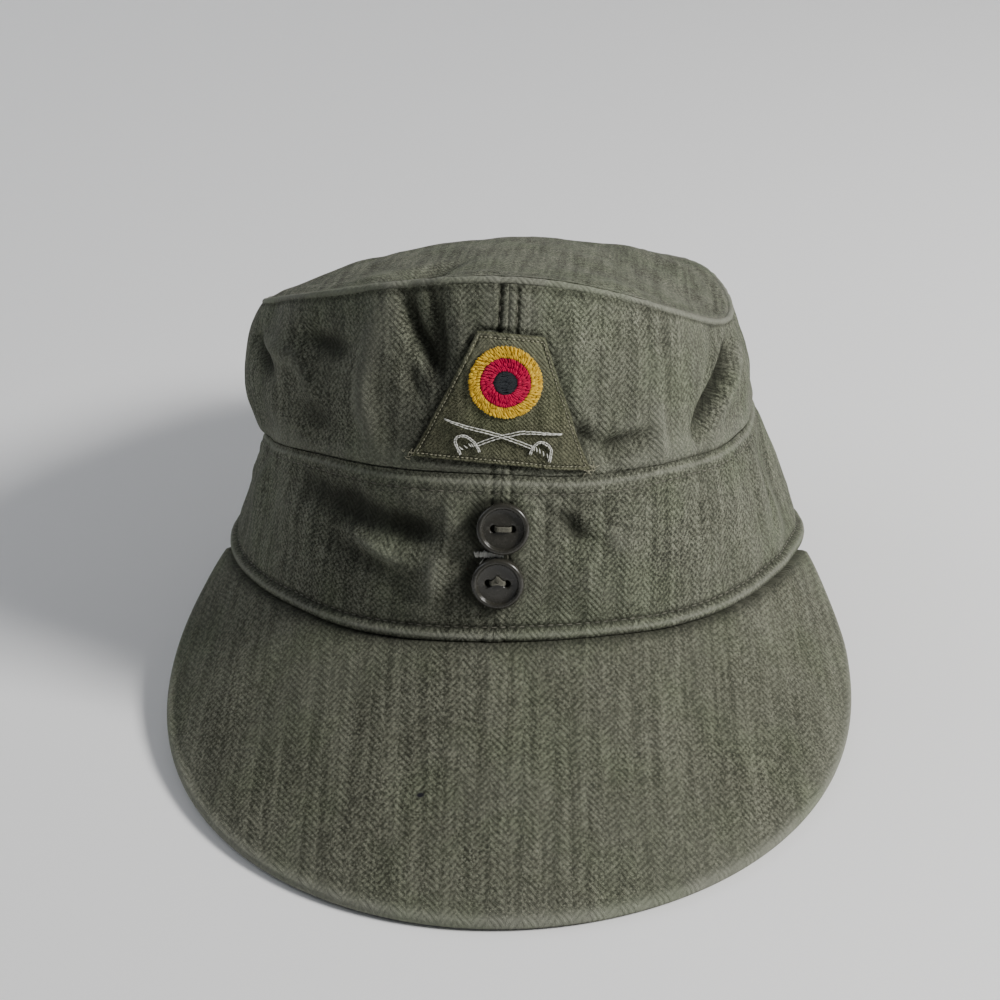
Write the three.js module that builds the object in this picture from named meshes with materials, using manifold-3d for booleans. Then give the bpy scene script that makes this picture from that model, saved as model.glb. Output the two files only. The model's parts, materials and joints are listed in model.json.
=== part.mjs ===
// A cloth field cap with a turned-up flap, a stiff curved peak, two buttons and a sewn badge patch.
//
// Units are millimetres, +Z is up and the front of the cap faces -Y. The cap is shaped in a frame of
// its own, in which the rim lies in the plane z = 0. At the end the whole cap is tipped about X until
// it rests on the back of its rim and the front edge of its peak.
//
// The soft wall is one surface. A point on it is found by its angle round the head (0 at the front,
// 90 at +X) and its level above the rim, and every cloth layer is that
// surface moved outwards or inwards by an offset.

import * as THREE from "three";
import { mergeVertices } from "three/addons/utils/BufferGeometryUtils.js";
import Module from "manifold-3d";

const wasm = await Module();
wasm.setup();

// Cloth and clearances
const CROWN_CLOTH = 1.6;
const GAP = 0.3;
const SEAM_LEVEL = 100;
const SEAM_LEAN_DEG = 4.2; // the front seam leans to +X by this angle at the top seam
const REST_TILT_DEG = 11.8;

// The wall in sections: how far the cloth lies from the axis at the front, back, left (-X) and right,
// and how high it is there. Level counts up from the rim along the front of the cap.
const SECTIONS = [
  { name: "rim", level: 0, front: 94.0, back: 91.5, left: 89.2, right: 91.8,
    frontUp: 0, backUp: 0, leftUp: 0, rightUp: 0 },
  { name: "flap middle", level: 23, front: 93.6, back: 90.0, left: 82.4, right: 83.4,
    frontUp: 23, backUp: 21, leftUp: 19, rightUp: 21 },
  { name: "flap edge", level: 46, front: 91.8, back: 87.0, left: 77.0, right: 76.0,
    frontUp: 46, backUp: 41, leftUp: 38, rightUp: 42 },
  { name: "lower bulge", level: 64, front: 92.3, back: 88.5, left: 84.5, right: 76.6,
    frontUp: 64, backUp: 56, leftUp: 52, rightUp: 57 },
  { name: "upper bulge", level: 84, front: 90.0, back: 87.5, left: 83.4, right: 73.4,
    frontUp: 84, backUp: 69, leftUp: 66, rightUp: 66 },
  { name: "top seam", level: SEAM_LEVEL, front: 87.0, back: 84.0, left: 78.0, right: 70.2,
    frontUp: 101.8, backUp: 78.5, leftUp: 76.5, rightUp: 73.5 },
];

// Folds and dents: where each one is centred (angle in degrees, level in mm), how long and wide it is,
// how far it leans from the upright, and how far it pushes the cloth out (or in, when negative).
const FOLDS = [
  { name: "tuck left of the patch", angle: -13.5, level: 87, length: 12, width: 5.5, lean: 24, push: -3.6 },
  { name: "ridge beside the tuck", angle: -20.5, level: 88, length: 12, width: 5.5, lean: 14, push: 1.3 },
  { name: "left front hollow", angle: -42, level: 80, length: 15, width: 8, lean: -38, push: -2.2 },
  { name: "left side hollow", angle: -84, level: 82, length: 15, width: 9, lean: 60, push: -2.0 },
  { name: "left overhang", angle: -75, level: 56, length: 24, width: 8, lean: 90, push: 1.6 },
  { name: "right slanting dent", angle: 55, level: 70, length: 22, width: 7, lean: -32, push: -3.2 },
  { name: "right shoulder", angle: 38, level: 82, length: 16, width: 11, lean: -20, push: 1.4 },
  { name: "pinch beside the patch", angle: 24, level: 54, length: 9, width: 5, lean: 62, push: -1.8 },
  { name: "flap side fold", angle: 68, level: 24, length: 17, width: 4.5, lean: -12, push: 2.0 },
  { name: "flap side hollow", angle: 80, level: 24, length: 16, width: 7, lean: -20, push: -2.2 },
  { name: "flap left fold", angle: -64, level: 36, length: 13, width: 6, lean: -28, push: 1.6 },
  { name: "flap left hollow", angle: -23, level: 33, length: 22, width: 6, lean: 80, push: -1.4 },
  { name: "flap right hollow", angle: 21, level: 30, length: 12, width: 6, lean: 55, push: -1.3 },
  { name: "back hollow", angle: 158, level: 72, length: 24, width: 12, lean: 62, push: -2.6 },
  { name: "back ridge", angle: -150, level: 66, length: 22, width: 12, lean: -35, push: 1.8 },
  { name: "back left dent", angle: -118, level: 78, length: 18, width: 9, lean: 20, push: -2.2 },
  { name: "back right puff", angle: 122, level: 88, length: 20, width: 16, lean: 90, push: 2.4 },
];

// Lifts move the cloth up or down round one angle and one level, and fade out over a width in degrees
// and a reach in mm.
const LIFTS = [
  { name: "right rear corner", angle: 120, width: 34, level: 100, reach: 40, up: 4.5 },
  { name: "left rear corner", angle: -130, width: 34, level: 100, reach: 40, up: -5.2 },
  { name: "left shoulder", angle: -66, width: 32, level: 100, reach: 30, up: 4.2 },
  { name: "flap edge beside the buttons", angle: 22, width: 16, level: 46, reach: 16, up: -1.8 },
  { name: "flap edge at the right", angle: 56, width: 18, level: 46, reach: 16, up: -2.0 },
  { name: "flap edge at the left", angle: -45, width: 22, level: 46, reach: 16, up: 2.0 },
];

// Crown
// Rows of the crown's mesh; one more row ends it just under the top seam.
const CROWN_LEVELS = [0, 14, 23, 32, 40.5, 46.9, 52, 58, 65, 73, 81, 88, 93];
const WALL_STEPS = 28; // columns round each half, shared by crown and flap so that they nest
const TOP_CENTRE_UP = 95.5;
const TOP_RINGS = 4;
const WELT_RADIUS = 1.5;
const WELT_SINK = 0.7; // its middle lies this far inside the face of the crown
const WELT_SIDES = 8;
const TOP_INSET = WELT_SINK + WELT_RADIUS + GAP + 0.15; // from the wall to the top panel's edge

// Flap, from its flat underside to its folded upper edge. Offsets are from the crown's cloth.
const FLAP_ROWS = [
  { level: -1.3, outer: 3.4, inner: 1.4 },
  { level: 0.8, outer: 4.4, inner: 0.6 },
  { level: 3.2, outer: 4.5, inner: 0.6 },
  { level: 5.4, outer: 3.5, inner: 0.6 },
  { level: 7.2, outer: 2.7, inner: 0.6 },
  { level: 14, outer: 3.0, inner: 0.6 },
  { level: 23, outer: 3.0, inner: 0.6 },
  { level: 32, outer: 3.0, inner: 0.6 },
  { level: 40.5, outer: 3.0, inner: 0.6 },
  { level: 43.4, outer: 2.6, inner: 0.6 },
  { level: 45.6, outer: 2.8, inner: 0.8 },
  { level: 46.9, outer: 2.1, inner: 1.1 },
];
const FLAP_UNDERSIDE = FLAP_ROWS[0].level;
const FLAP_FACE = 3.0;

// Peak: straight lines run from the rim to its edge, steeper and shorter towards the ends.
const PEAK_LENGTH = 83;
const PEAK_HALF_ANGLE_DEG = 80.1;
const PEAK_SLOPE_DEG = 39.3;
const PEAK_SIDE_SLOPE_DEG = 8.6;
const PEAK_FAN = 0.97;
const PEAK_TURN_DEG = 2.4;
const PEAK_THICKNESS = 3.2;
const PEAK_END = 0.98;
const PEAK_STEPS = 30;
const PEAK_SEAT_OFFSET = 4.4;
const PEAK_ROOT_OFFSET = 1.2;
const PEAK_DROP = 0.45; // below the flap's underside
// Rows of the peak, as shares of its flat stretch, up to where the edge rounds.
const PEAK_ROWS = [0, 0.17, 0.34, 0.52, 0.7, 0.87, 1];
// The rounded edge: how far back from the edge and how far off the middle, in halves of the thickness.
const PEAK_EDGE = [{ back: 0.6, rise: 0.85 }, { back: 0, rise: 0.3 }];

// Badge patch: corners in mm to the right of the middle and in level.
const PATCH_THICKNESS = 0.9;
const PATCH = { topLeft: [-3.4, 88], topRight: [14.9, 86.8], lowRight: [27.4, 50.4], lowLeft: [-21.4, 52.4] };
const PATCH_ACROSS = 13;
const PATCH_UP = 8;
const PATCH_FACE = GAP + PATCH_THICKNESS;
const STITCH_SEAT = PATCH_FACE + 0.45; // where the embroidery starts

// Cockade of three embroidered rings
const COCKADE_X = 4.0;
const COCKADE_LEVEL = 74.6;
const COCKADE_RAISE = 0.7;
const RINGS = [
  { name: "cockade_gold_ring", inner: 7.05, outer: 9.9, sides: 36, colour: 0xe0a92c },
  { name: "cockade_red_ring", inner: 3.7, outer: 6.75, sides: 28, colour: 0x9c1f3c },
  { name: "cockade_black_disc", inner: 0, outer: 3.4, sides: 24, colour: 0x23282c },
];

// Sabres, in mm from their crossing point: blade, then knuckle guard, then grip.
const SABRE_X = 4.3;
const SABRE_LEVEL = 59.2;
const SABRE_RAISE = 0.55;
const BLADE_WIDTH = 1.25;
const GUARD_WIDTH = 0.85;
const SABRES = [
  {
    blade: [[-16.8, 5.3], [-9.7, 3.0], [-2.6, 1.1], [2, -0.5], [6.6, -2.2]],
    guard: [[6.0, -4.2], [7.2, -1.7], [9.2, -0.6], [11.6, -2.4], [10.9, -5.8]],
    grip: [[6.6, -2.2], [8.6, -3.1], [11.2, -4.6]],
  },
  {
    blade: [[14.7, 1.4], [5.2, 1.8], [1.8, 1.3], [-4.2, -0.1], [-8.3, -1.8]],
    guard: [[-7.3, -3.7], [-8.9, -0.9], [-11.8, 0.8], [-14, -0.5], [-12.4, -4.6]],
    grip: [[-8.3, -1.8], [-10, -1.9], [-13.2, -3.1]],
  },
];

// Buttons, from the axis outwards: a dished face inside a raised, rounded rim.
const BUTTON_RADIUS = 7.4;
const BUTTON_HEIGHT = 3.0;
const BUTTON_DISH = 5.6;
const BUTTON_FLOOR = 1.9;
const BUTTON_ROUND = 0.7;
const BUTTON_SIDES = 22;
const BUTTON_HOLE = 1.0;
const BUTTON_HOLE_OUT = 2.6;
const HOLE_SIDES = 10;
const BUTTONS = [
  { name: "upper", x: 3.0, level: 33.6, roll: 0 },
  { name: "lower", x: 1.5, level: 18.0, roll: -2 },
];
const THREAD_RADIUS = 0.62;
const THREAD_LENGTH = 4.3;
const TACK = { x: -1.9, level: 25.8, length: 5.4, radius: 0.6 };

const rad = THREE.MathUtils.degToRad;

// Slope of a table's column at one row, from the rows on both sides of it.
function slopeAt(rows, key, i) {
  const before = Math.max(i - 1, 0);
  const after = Math.min(i + 1, rows.length - 1);
  const left = rows[i].level - rows[before].level;
  const right = rows[after].level - rows[i].level;
  if (left === 0) {
    return (rows[after][key] - rows[i][key]) / right;
  }
  if (right === 0) {
    return (rows[i][key] - rows[before][key]) / left;
  }
  const ahead = (rows[after][key] - rows[i][key]) / right;
  const behind = (rows[i][key] - rows[before][key]) / left;
  return (ahead * left + behind * right) / (left + right);
}

// Smooth reading of one column of the sections at any level.
function between(rows, key, level) {
  let i = 0;
  while (i < rows.length - 2 && level > rows[i + 1].level) {
    i += 1;
  }
  const span = rows[i + 1].level - rows[i].level;
  const t = (level - rows[i].level) / span;
  const start = (2 * t ** 3 - 3 * t ** 2 + 1) * rows[i][key];
  const end = (3 * t ** 2 - 2 * t ** 3) * rows[i + 1][key];
  const leave = (t ** 3 - 2 * t ** 2 + t) * span * slopeAt(rows, key, i);
  const arrive = (t ** 3 - t ** 2) * span * slopeAt(rows, key, i + 1);
  return start + end + leave + arrive;
}

// Turns an angle difference into the range from -180 to 180 degrees.
function turnBetween(degrees, from) {
  return THREE.MathUtils.euclideanModulo(degrees - from + 180, 360) - 180;
}

function liftAt(degrees, level) {
  let up = 0;
  for (const lift of LIFTS) {
    const away = turnBetween(degrees, lift.angle) / lift.width;
    const above = (level - lift.level) / lift.reach;
    up += lift.up * Math.exp(-away * away - above * above);
  }
  return up;
}

// The wall without its folds.
function bareWall(degrees, level) {
  const c = Math.cos(rad(degrees));
  const s = Math.sin(rad(degrees));
  const side = s > 0 ? "right" : "left";
  const end = c > 0 ? "front" : "back";
  const up = between(SECTIONS, `${end}Up`, level) * c * c + between(SECTIONS, `${side}Up`, level) * s * s;
  return new THREE.Vector3(
    between(SECTIONS, side, level) * s,
    -between(SECTIONS, end, level) * c,
    up + liftAt(degrees, level),
  );
}

const ARC_PER_DEGREE = rad(1) * 85;

function foldPush(degrees, level) {
  let push = 0;
  for (const fold of FOLDS) {
    const across = turnBetween(degrees, fold.angle) * ARC_PER_DEGREE;
    const up = level - fold.level;
    const c = Math.cos(rad(fold.lean));
    const s = Math.sin(rad(fold.lean));
    const along = (up * c - across * s) / fold.length;
    const off = (across * c + up * s) / fold.width;
    push += fold.push * Math.exp(-along * along - off * off);
  }
  return push;
}

function wallFrame(degrees, level) {
  const step = 0.05;
  const base = bareWall(degrees, level);
  const round = bareWall(degrees + step, level).sub(base).normalize();
  const up = bareWall(degrees, level + step).sub(base).normalize();
  const out = round.clone().cross(up).normalize();
  return { base, round, up, out };
}

function wallPoint(degrees, level, offset) {
  const { base, out } = wallFrame(degrees, level);
  return base.addScaledVector(out, foldPush(degrees, level) + offset);
}

function seamAngle(level) {
  return (SEAM_LEAN_DEG * level) / SEAM_LEVEL;
}

// A point of the front wall by its distance to the right of the middle.
function frontAngle(x, level) {
  const half = between(SECTIONS, x > 0 ? "right" : "left", level);
  return THREE.MathUtils.radToDeg(Math.asin(x / half));
}

function frontPoint(x, level, offset) {
  return wallPoint(frontAngle(x, level), level, offset);
}

// Closed body from triangles: merges shared corners, drops collapsed triangles and faces it outwards.
function closedGeometry(points, triangles) {
  const raw = new THREE.BufferGeometry();
  raw.setAttribute("position", new THREE.Float32BufferAttribute(points.flatMap((p) => p.toArray()), 3));
  raw.setIndex(triangles.flat());
  const merged = mergeVertices(raw, 1e-4);
  const index = merged.getIndex().array;
  const position = merged.getAttribute("position");
  const kept = [];
  let volume = 0;
  const [a, b, c] = [new THREE.Vector3(), new THREE.Vector3(), new THREE.Vector3()];
  for (let i = 0; i < index.length; i += 3) {
    const [u, v, w] = [index[i], index[i + 1], index[i + 2]];
    if (u !== v && v !== w && w !== u) {
      kept.push(u, v, w);
      a.fromBufferAttribute(position, u);
      b.fromBufferAttribute(position, v);
      c.fromBufferAttribute(position, w);
      volume += a.dot(b.cross(c));
    }
  }
  if (volume < 0) {
    kept.reverse();
  }
  merged.setIndex(kept);
  return merged;
}

// Thin shell between two grids of points. Columns may run round into a loop.
function shell(outer, inner, loop) {
  const columns = outer.length;
  const rows = outer[0].length;
  const points = [...outer.flat(), ...inner.flat()];
  const far = columns * rows;
  const triangles = [];
  const quad = (a, b, c, d) => triangles.push([a, b, c], [a, c, d]);
  const at = (i, j) => (i % columns) * rows + j;
  for (let i = 0; i < (loop ? columns : columns - 1); i += 1) {
    for (let j = 0; j < rows - 1; j += 1) {
      quad(at(i, j), at(i + 1, j), at(i + 1, j + 1), at(i, j + 1));
      quad(far + at(i, j + 1), far + at(i + 1, j + 1), far + at(i + 1, j), far + at(i, j));
    }
    quad(far + at(i, 0), far + at(i + 1, 0), at(i + 1, 0), at(i, 0));
    const last = rows - 1;
    quad(at(i, last), at(i + 1, last), far + at(i + 1, last), far + at(i, last));
  }
  if (!loop) {
    const end = columns - 1;
    for (let j = 0; j < rows - 1; j += 1) {
      quad(at(0, j), at(0, j + 1), far + at(0, j + 1), far + at(0, j));
      quad(far + at(end, j), far + at(end, j + 1), at(end, j + 1), at(end, j));
    }
  }
  return closedGeometry(points, triangles);
}

// Values spread evenly from start to end, both included.
function spread(start, end, steps) {
  return Array.from({ length: steps + 1 }, (_, i) => start + ((end - start) * i) / steps);
}

// The angles of one half of the wall at one level, clear of the front and back seams.
function halfAngles(side, level) {
  const inset = GAP / 2 / ARC_PER_DEGREE;
  const front = seamAngle(level) + side * inset;
  const back = side * (180 - inset);
  return spread(front, back, WALL_STEPS);
}

// The level at which the crown's cloth ends, just clear of the rolled seam.
function levelUnderSeam(degrees) {
  const room = wallPoint(degrees, SEAM_LEVEL, 0).distanceTo(wallPoint(degrees, SEAM_LEVEL - 1, 0));
  return SEAM_LEVEL - (WELT_RADIUS + GAP) / room;
}

function crownHalf(side) {
  const columns = spread(0, 1, WALL_STEPS).map((_, i) => {
    const end = levelUnderSeam(halfAngles(side, SEAM_LEVEL)[i]);
    return [...CROWN_LEVELS, end].map((level) => ({ degrees: halfAngles(side, level)[i], level }));
  });
  const outer = columns.map((column) => column.map((p) => wallPoint(p.degrees, p.level, 0)));
  const inner = columns.map((column) => column.map((p) => wallPoint(p.degrees, p.level, -CROWN_CLOTH)));
  return shell(outer, inner, false);
}

function flapHalf(side) {
  const place = (offsetKey) => spread(0, 1, WALL_STEPS).map((_, i) => FLAP_ROWS.map((row) => {
    const degrees = halfAngles(side, row.level)[i];
    const point = wallPoint(degrees, row.level, row[offsetKey]);
    if (row.level === FLAP_UNDERSIDE) {
      point.z = FLAP_UNDERSIDE;
    }
    return point;
  }));
  return shell(place("outer"), place("inner"), false);
}

// The top panel's height: it runs down from front to back and falls away to both sides.
function topPoint(degrees, reach, drop) {
  const edge = wallPoint(degrees, SEAM_LEVEL, -TOP_INSET);
  const fall = (wallPoint(0, SEAM_LEVEL, 0).z - wallPoint(180, SEAM_LEVEL, 0).z) / 2;
  const slope = Math.cos(rad(degrees)) * fall;
  const rest = edge.z - TOP_CENTRE_UP - slope;
  const up = TOP_CENTRE_UP + slope * reach + rest * reach * reach;
  return new THREE.Vector3(edge.x * reach, edge.y * reach, up - drop);
}

function crownTop() {
  const angles = spread(-180, 180, 2 * WALL_STEPS).slice(0, -1);
  const reaches = spread(1, 0, TOP_RINGS);
  const sheet = (drop) => angles.map((degrees) => reaches.map((reach) => topPoint(degrees, reach, drop)));
  return shell(sheet(-CROWN_CLOTH / 2), sheet(CROWN_CLOTH / 2), true);
}

// The rolled seam: a round cord of cloth along the edge between side and top.
function topWelt() {
  const angles = spread(-180, 180, 2 * WALL_STEPS).slice(0, -1);
  const rings = angles.map((degrees) => {
    const { base, out, up } = wallFrame(degrees, SEAM_LEVEL);
    const centre = base.addScaledVector(out, foldPush(degrees, SEAM_LEVEL) - WELT_SINK);
    return spread(0, 2 * Math.PI, WELT_SIDES).slice(0, -1).map((turn) => centre.clone()
      .addScaledVector(up, WELT_RADIUS * Math.cos(turn))
      .addScaledVector(out, WELT_RADIUS * Math.sin(turn)));
  });
  const corner = (i, j) => (i % rings.length) * WELT_SIDES + (j % WELT_SIDES);
  const triangles = [];
  for (let i = 0; i < rings.length; i += 1) {
    for (let j = 0; j < WELT_SIDES; j += 1) {
      triangles.push([corner(i, j), corner(i + 1, j), corner(i + 1, j + 1)]);
      triangles.push([corner(i, j), corner(i + 1, j + 1), corner(i, j + 1)]);
    }
  }
  return closedGeometry(rings.flat(), triangles);
}

// Where one line of the peak starts, which way it runs and how long it is. s goes from -1 to 1.
function peakLine(s) {
  const degrees = s * PEAK_HALF_ANGLE_DEG;
  const slope = rad(PEAK_SLOPE_DEG + PEAK_SIDE_SLOPE_DEG * s * s);
  const heading = rad(PEAK_FAN * degrees + PEAK_TURN_DEG);
  const seat = wallPoint(degrees, 0, PEAK_SEAT_OFFSET);
  const root = wallPoint(degrees, 0, PEAK_ROOT_OFFSET);
  seat.z = 0;
  root.z = FLAP_UNDERSIDE - PEAK_DROP;
  const way = new THREE.Vector3(
    Math.cos(slope) * Math.sin(heading),
    -Math.cos(slope) * Math.cos(heading),
    -Math.sin(slope),
  );
  const below = new THREE.Vector3(
    -Math.sin(slope) * Math.sin(heading),
    Math.sin(slope) * Math.cos(heading),
    -Math.cos(slope),
  );
  return { seat, root, way, below, length: PEAK_LENGTH * (1 - s * s) };
}

// A point of the peak: share runs from 0 at the rim to 1 at the edge, depth is into the board.
function peakPoint(line, share, depth) {
  const sink = (FLAP_UNDERSIDE - PEAK_DROP) * (1 - share);
  const point = line.seat.clone().addScaledVector(line.way, line.length * share);
  point.z += sink;
  return point.addScaledVector(line.below, depth);
}

function peakBody() {
  const half = PEAK_THICKNESS / 2;
  const lines = spread(-PEAK_END, PEAK_END, PEAK_STEPS).map(peakLine);
  const side = (face) => lines.map((line) => {
    const depth = half + face * half;
    const flat = 1 - half / line.length;
    const edge = ({ back, rise }) => {
      return peakPoint(line, 1 - (back * half) / line.length, half + face * rise * half);
    };
    return [
      line.root.clone().addScaledVector(line.below, depth),
      ...PEAK_ROWS.map((share) => peakPoint(line, share * flat, depth)),
      ...PEAK_EDGE.map(edge),
    ];
  });
  return shell(side(-1), side(1), false);
}

function patchBody() {
  const sheet = (offset) => spread(0, 1, PATCH_ACROSS).map((u) => spread(0, 1, PATCH_UP).map((v) => {
    const [low, high] = [["lowLeft", "lowRight"], ["topLeft", "topRight"]].map(([a, b]) => {
      return [0, 1].map((k) => THREE.MathUtils.lerp(PATCH[a][k], PATCH[b][k], u));
    });
    const x = THREE.MathUtils.lerp(low[0], high[0], v);
    const level = THREE.MathUtils.lerp(low[1], high[1], v);
    return frontPoint(x, level, offset);
  }));
  return shell(sheet(PATCH_FACE), sheet(GAP), false);
}

// One embroidered ring, or the disc in the middle when it has no inner radius.
function cockadeRing(ring) {
  const angles = spread(0, 2 * Math.PI, ring.sides).slice(0, -1);
  const sheet = (offset) => angles.map((turn) => [ring.outer, (ring.outer + ring.inner) / 2, ring.inner].map(
    (r) => frontPoint(COCKADE_X + r * Math.cos(turn), COCKADE_LEVEL + r * Math.sin(turn), offset),
  ));
  return shell(sheet(STITCH_SEAT + COCKADE_RAISE), sheet(STITCH_SEAT), true);
}

// Flat outline of a strip of stitches along a smooth line.
function strip(path, width) {
  const curve = new THREE.SplineCurve(path.map(([x, y]) => new THREE.Vector2(x, y)));
  const places = spread(0, 1, 2 * (path.length - 1));
  const edge = (way) => places.map((t) => {
    const across = curve.getTangent(t).rotateAround(new THREE.Vector2(), Math.PI / 2);
    return curve.getPoint(t).addScaledVector(across, (way * width) / 2);
  });
  return new THREE.Shape([...edge(1), ...edge(-1).reverse()]);
}

function toManifold(geometry) {
  const bare = geometry.clone();
  bare.deleteAttribute("normal");
  bare.deleteAttribute("uv");
  const merged = mergeVertices(bare, 1e-4);
  return new wasm.Manifold(new wasm.Mesh({
    numProp: 3,
    vertProperties: new Float32Array(merged.getAttribute("position").array),
    triVerts: new Uint32Array(merged.getIndex().array),
  }));
}

function fromManifold(solid) {
  const mesh = solid.getMesh();
  const geometry = new THREE.BufferGeometry();
  geometry.setAttribute("position", new THREE.BufferAttribute(mesh.vertProperties, 3));
  geometry.setIndex(new THREE.BufferAttribute(mesh.triVerts, 1));
  return geometry;
}

// Both sabres are joined flat, then laid on the patch.
function sabresBody() {
  let joined = null;
  for (const sabre of SABRES) {
    for (const [path, width] of [
      [sabre.blade, BLADE_WIDTH], [sabre.guard, GUARD_WIDTH], [sabre.grip, GUARD_WIDTH],
    ]) {
      const flat = new THREE.ExtrudeGeometry(strip(path, width), { depth: SABRE_RAISE, bevelEnabled: false });
      const solid = toManifold(flat);
      joined = joined ? joined.add(solid) : solid;
    }
  }
  const geometry = fromManifold(joined);
  const position = geometry.getAttribute("position");
  for (let i = 0; i < position.count; i += 1) {
    const offset = STITCH_SEAT + position.getZ(i);
    const p = frontPoint(SABRE_X + position.getX(i), SABRE_LEVEL + position.getY(i), offset);
    position.setXYZ(i, p.x, p.y, p.z);
  }
  return geometry;
}

// A button lying on its back, axis along +Z, with its two thread holes cut through.
function buttonBody() {
  const profile = [
    [0, 0],
    [BUTTON_RADIUS - BUTTON_ROUND, 0],
    [BUTTON_RADIUS, BUTTON_ROUND],
    [BUTTON_RADIUS, BUTTON_HEIGHT - BUTTON_ROUND],
    [BUTTON_RADIUS - BUTTON_ROUND, BUTTON_HEIGHT],
    [BUTTON_DISH + BUTTON_ROUND, BUTTON_HEIGHT],
    [BUTTON_DISH, BUTTON_FLOOR],
    [0, BUTTON_FLOOR],
  ].map(([r, h]) => new THREE.Vector2(r, h));
  const turned = new THREE.LatheGeometry(profile, BUTTON_SIDES).rotateX(Math.PI / 2);
  let solid = toManifold(turned);
  for (const side of [-1, 1]) {
    const hole = new THREE.CylinderGeometry(BUTTON_HOLE, BUTTON_HOLE, 3 * BUTTON_HEIGHT, HOLE_SIDES);
    hole.rotateX(Math.PI / 2).translate(side * BUTTON_HOLE_OUT, 0, 0);
    solid = solid.subtract(toManifold(hole));
  }
  return fromManifold(solid);
}

// A bar of thread with round ends, lying along X.
function stitchBar(radius, length) {
  return new THREE.CapsuleGeometry(radius, length - 2 * radius, 3, 8).rotateZ(Math.PI / 2);
}

// Seats a body that lies in its own XY plane on the flap's face at one place.
function seatOnFlap(mesh, x, level, height, roll) {
  const { round, out } = wallFrame(frontAngle(x, level), level);
  const turn = new THREE.Matrix4().makeBasis(round, out.clone().cross(round), out);
  mesh.quaternion.setFromRotationMatrix(turn);
  mesh.rotateZ(rad(roll));
  mesh.position.copy(frontPoint(x, level, FLAP_FACE + GAP)).addScaledVector(out, height);
}

function cloth(colour) {
  return new THREE.MeshStandardMaterial({ color: colour, roughness: 0.9, metalness: 0 });
}

function piece(name, geometry, material) {
  const mesh = new THREE.Mesh(geometry, material);
  mesh.name = name;
  return mesh;
}

const FIELD_GREEN = 0x5c6253;
const PATCH_GREEN = 0x45462f;
const THREAD_GREY = 0xb9bab0;
const BUTTON_GREY = 0x33342f;

const cap = new THREE.Group();
for (const [name, side] of [["left", -1], ["right", 1]]) {
  cap.add(piece(`crown_side_${name}`, crownHalf(side), cloth(FIELD_GREEN)));
  cap.add(piece(`flap_${name}`, flapHalf(side), cloth(FIELD_GREEN)));
}
cap.add(piece("crown_top", crownTop(), cloth(FIELD_GREEN)));
cap.add(piece("top_welt", topWelt(), cloth(FIELD_GREEN)));
cap.add(piece("peak", peakBody(), cloth(FIELD_GREEN)));
cap.add(piece("badge_patch", patchBody(), cloth(PATCH_GREEN)));
for (const ring of RINGS) {
  cap.add(piece(ring.name, cockadeRing(ring), cloth(ring.colour)));
}
cap.add(piece("crossed_sabres", sabresBody(), cloth(THREAD_GREY)));

for (const button of BUTTONS) {
  const plastic = new THREE.MeshStandardMaterial({ color: BUTTON_GREY, roughness: 0.4, metalness: 0 });
  const disc = piece(`button_${button.name}`, buttonBody(), plastic);
  seatOnFlap(disc, button.x, button.level, 0, button.roll);
  const bar = stitchBar(THREAD_RADIUS, THREAD_LENGTH);
  const thread = piece(`button_thread_${button.name}`, bar, cloth(THREAD_GREY));
  seatOnFlap(thread, button.x, button.level, BUTTON_FLOOR + GAP + THREAD_RADIUS, button.roll);
  cap.add(disc, thread);
}
const tack = piece("bar_tack", stitchBar(TACK.radius, TACK.length), cloth(THREAD_GREY));
seatOnFlap(tack, TACK.x, TACK.level, TACK.radius, 0);
cap.add(tack);

// Rest the cap on its peak and the back of its rim, centred over the origin.
cap.rotation.x = -rad(REST_TILT_DEG);
cap.updateMatrixWorld(true);
const box = new THREE.Box3().setFromObject(cap, true);
const middle = box.getCenter(new THREE.Vector3());
cap.position.set(-middle.x, -middle.y, -box.min.z);

export default cap;
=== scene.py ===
"""A cloth field cap with a turned-up flap, a stiff peak, two buttons and a sewn badge patch.

Every piece is shaped in millimetres in the cap's own frame, in which the rim lies in the plane z = 0
and the front faces -Y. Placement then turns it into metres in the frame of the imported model.
"""

import json
import logging
import math
from dataclasses import dataclass
from enum import Enum
from typing import Iterable, Sequence

import bpy
import numpy as np
from mathutils import Matrix, Vector

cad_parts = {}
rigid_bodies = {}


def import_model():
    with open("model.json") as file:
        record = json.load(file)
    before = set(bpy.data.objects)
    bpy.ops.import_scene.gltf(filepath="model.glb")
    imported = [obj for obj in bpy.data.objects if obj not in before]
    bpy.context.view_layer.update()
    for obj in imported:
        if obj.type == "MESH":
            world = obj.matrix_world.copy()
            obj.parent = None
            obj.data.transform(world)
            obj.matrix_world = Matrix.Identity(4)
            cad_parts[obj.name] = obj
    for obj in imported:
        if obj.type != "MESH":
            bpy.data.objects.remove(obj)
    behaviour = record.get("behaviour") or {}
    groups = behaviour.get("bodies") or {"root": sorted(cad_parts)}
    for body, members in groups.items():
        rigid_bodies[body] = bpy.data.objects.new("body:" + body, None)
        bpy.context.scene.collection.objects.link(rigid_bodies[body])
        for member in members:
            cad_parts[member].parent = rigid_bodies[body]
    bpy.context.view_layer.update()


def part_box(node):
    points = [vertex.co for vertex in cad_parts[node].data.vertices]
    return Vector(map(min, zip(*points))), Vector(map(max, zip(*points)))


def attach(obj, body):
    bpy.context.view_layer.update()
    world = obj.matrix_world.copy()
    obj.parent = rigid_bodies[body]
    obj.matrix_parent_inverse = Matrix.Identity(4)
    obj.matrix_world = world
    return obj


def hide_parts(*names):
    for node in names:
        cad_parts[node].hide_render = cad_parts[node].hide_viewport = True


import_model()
MM = 0.001
SEED = 7
CLOTH_UV = "cloth"
GAP = 0.3
STITCH_PITCH = 2.7
STRIP_HALF = 2.75
SEAM_INSET = 0.05
HALF_TURN = 178
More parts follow.
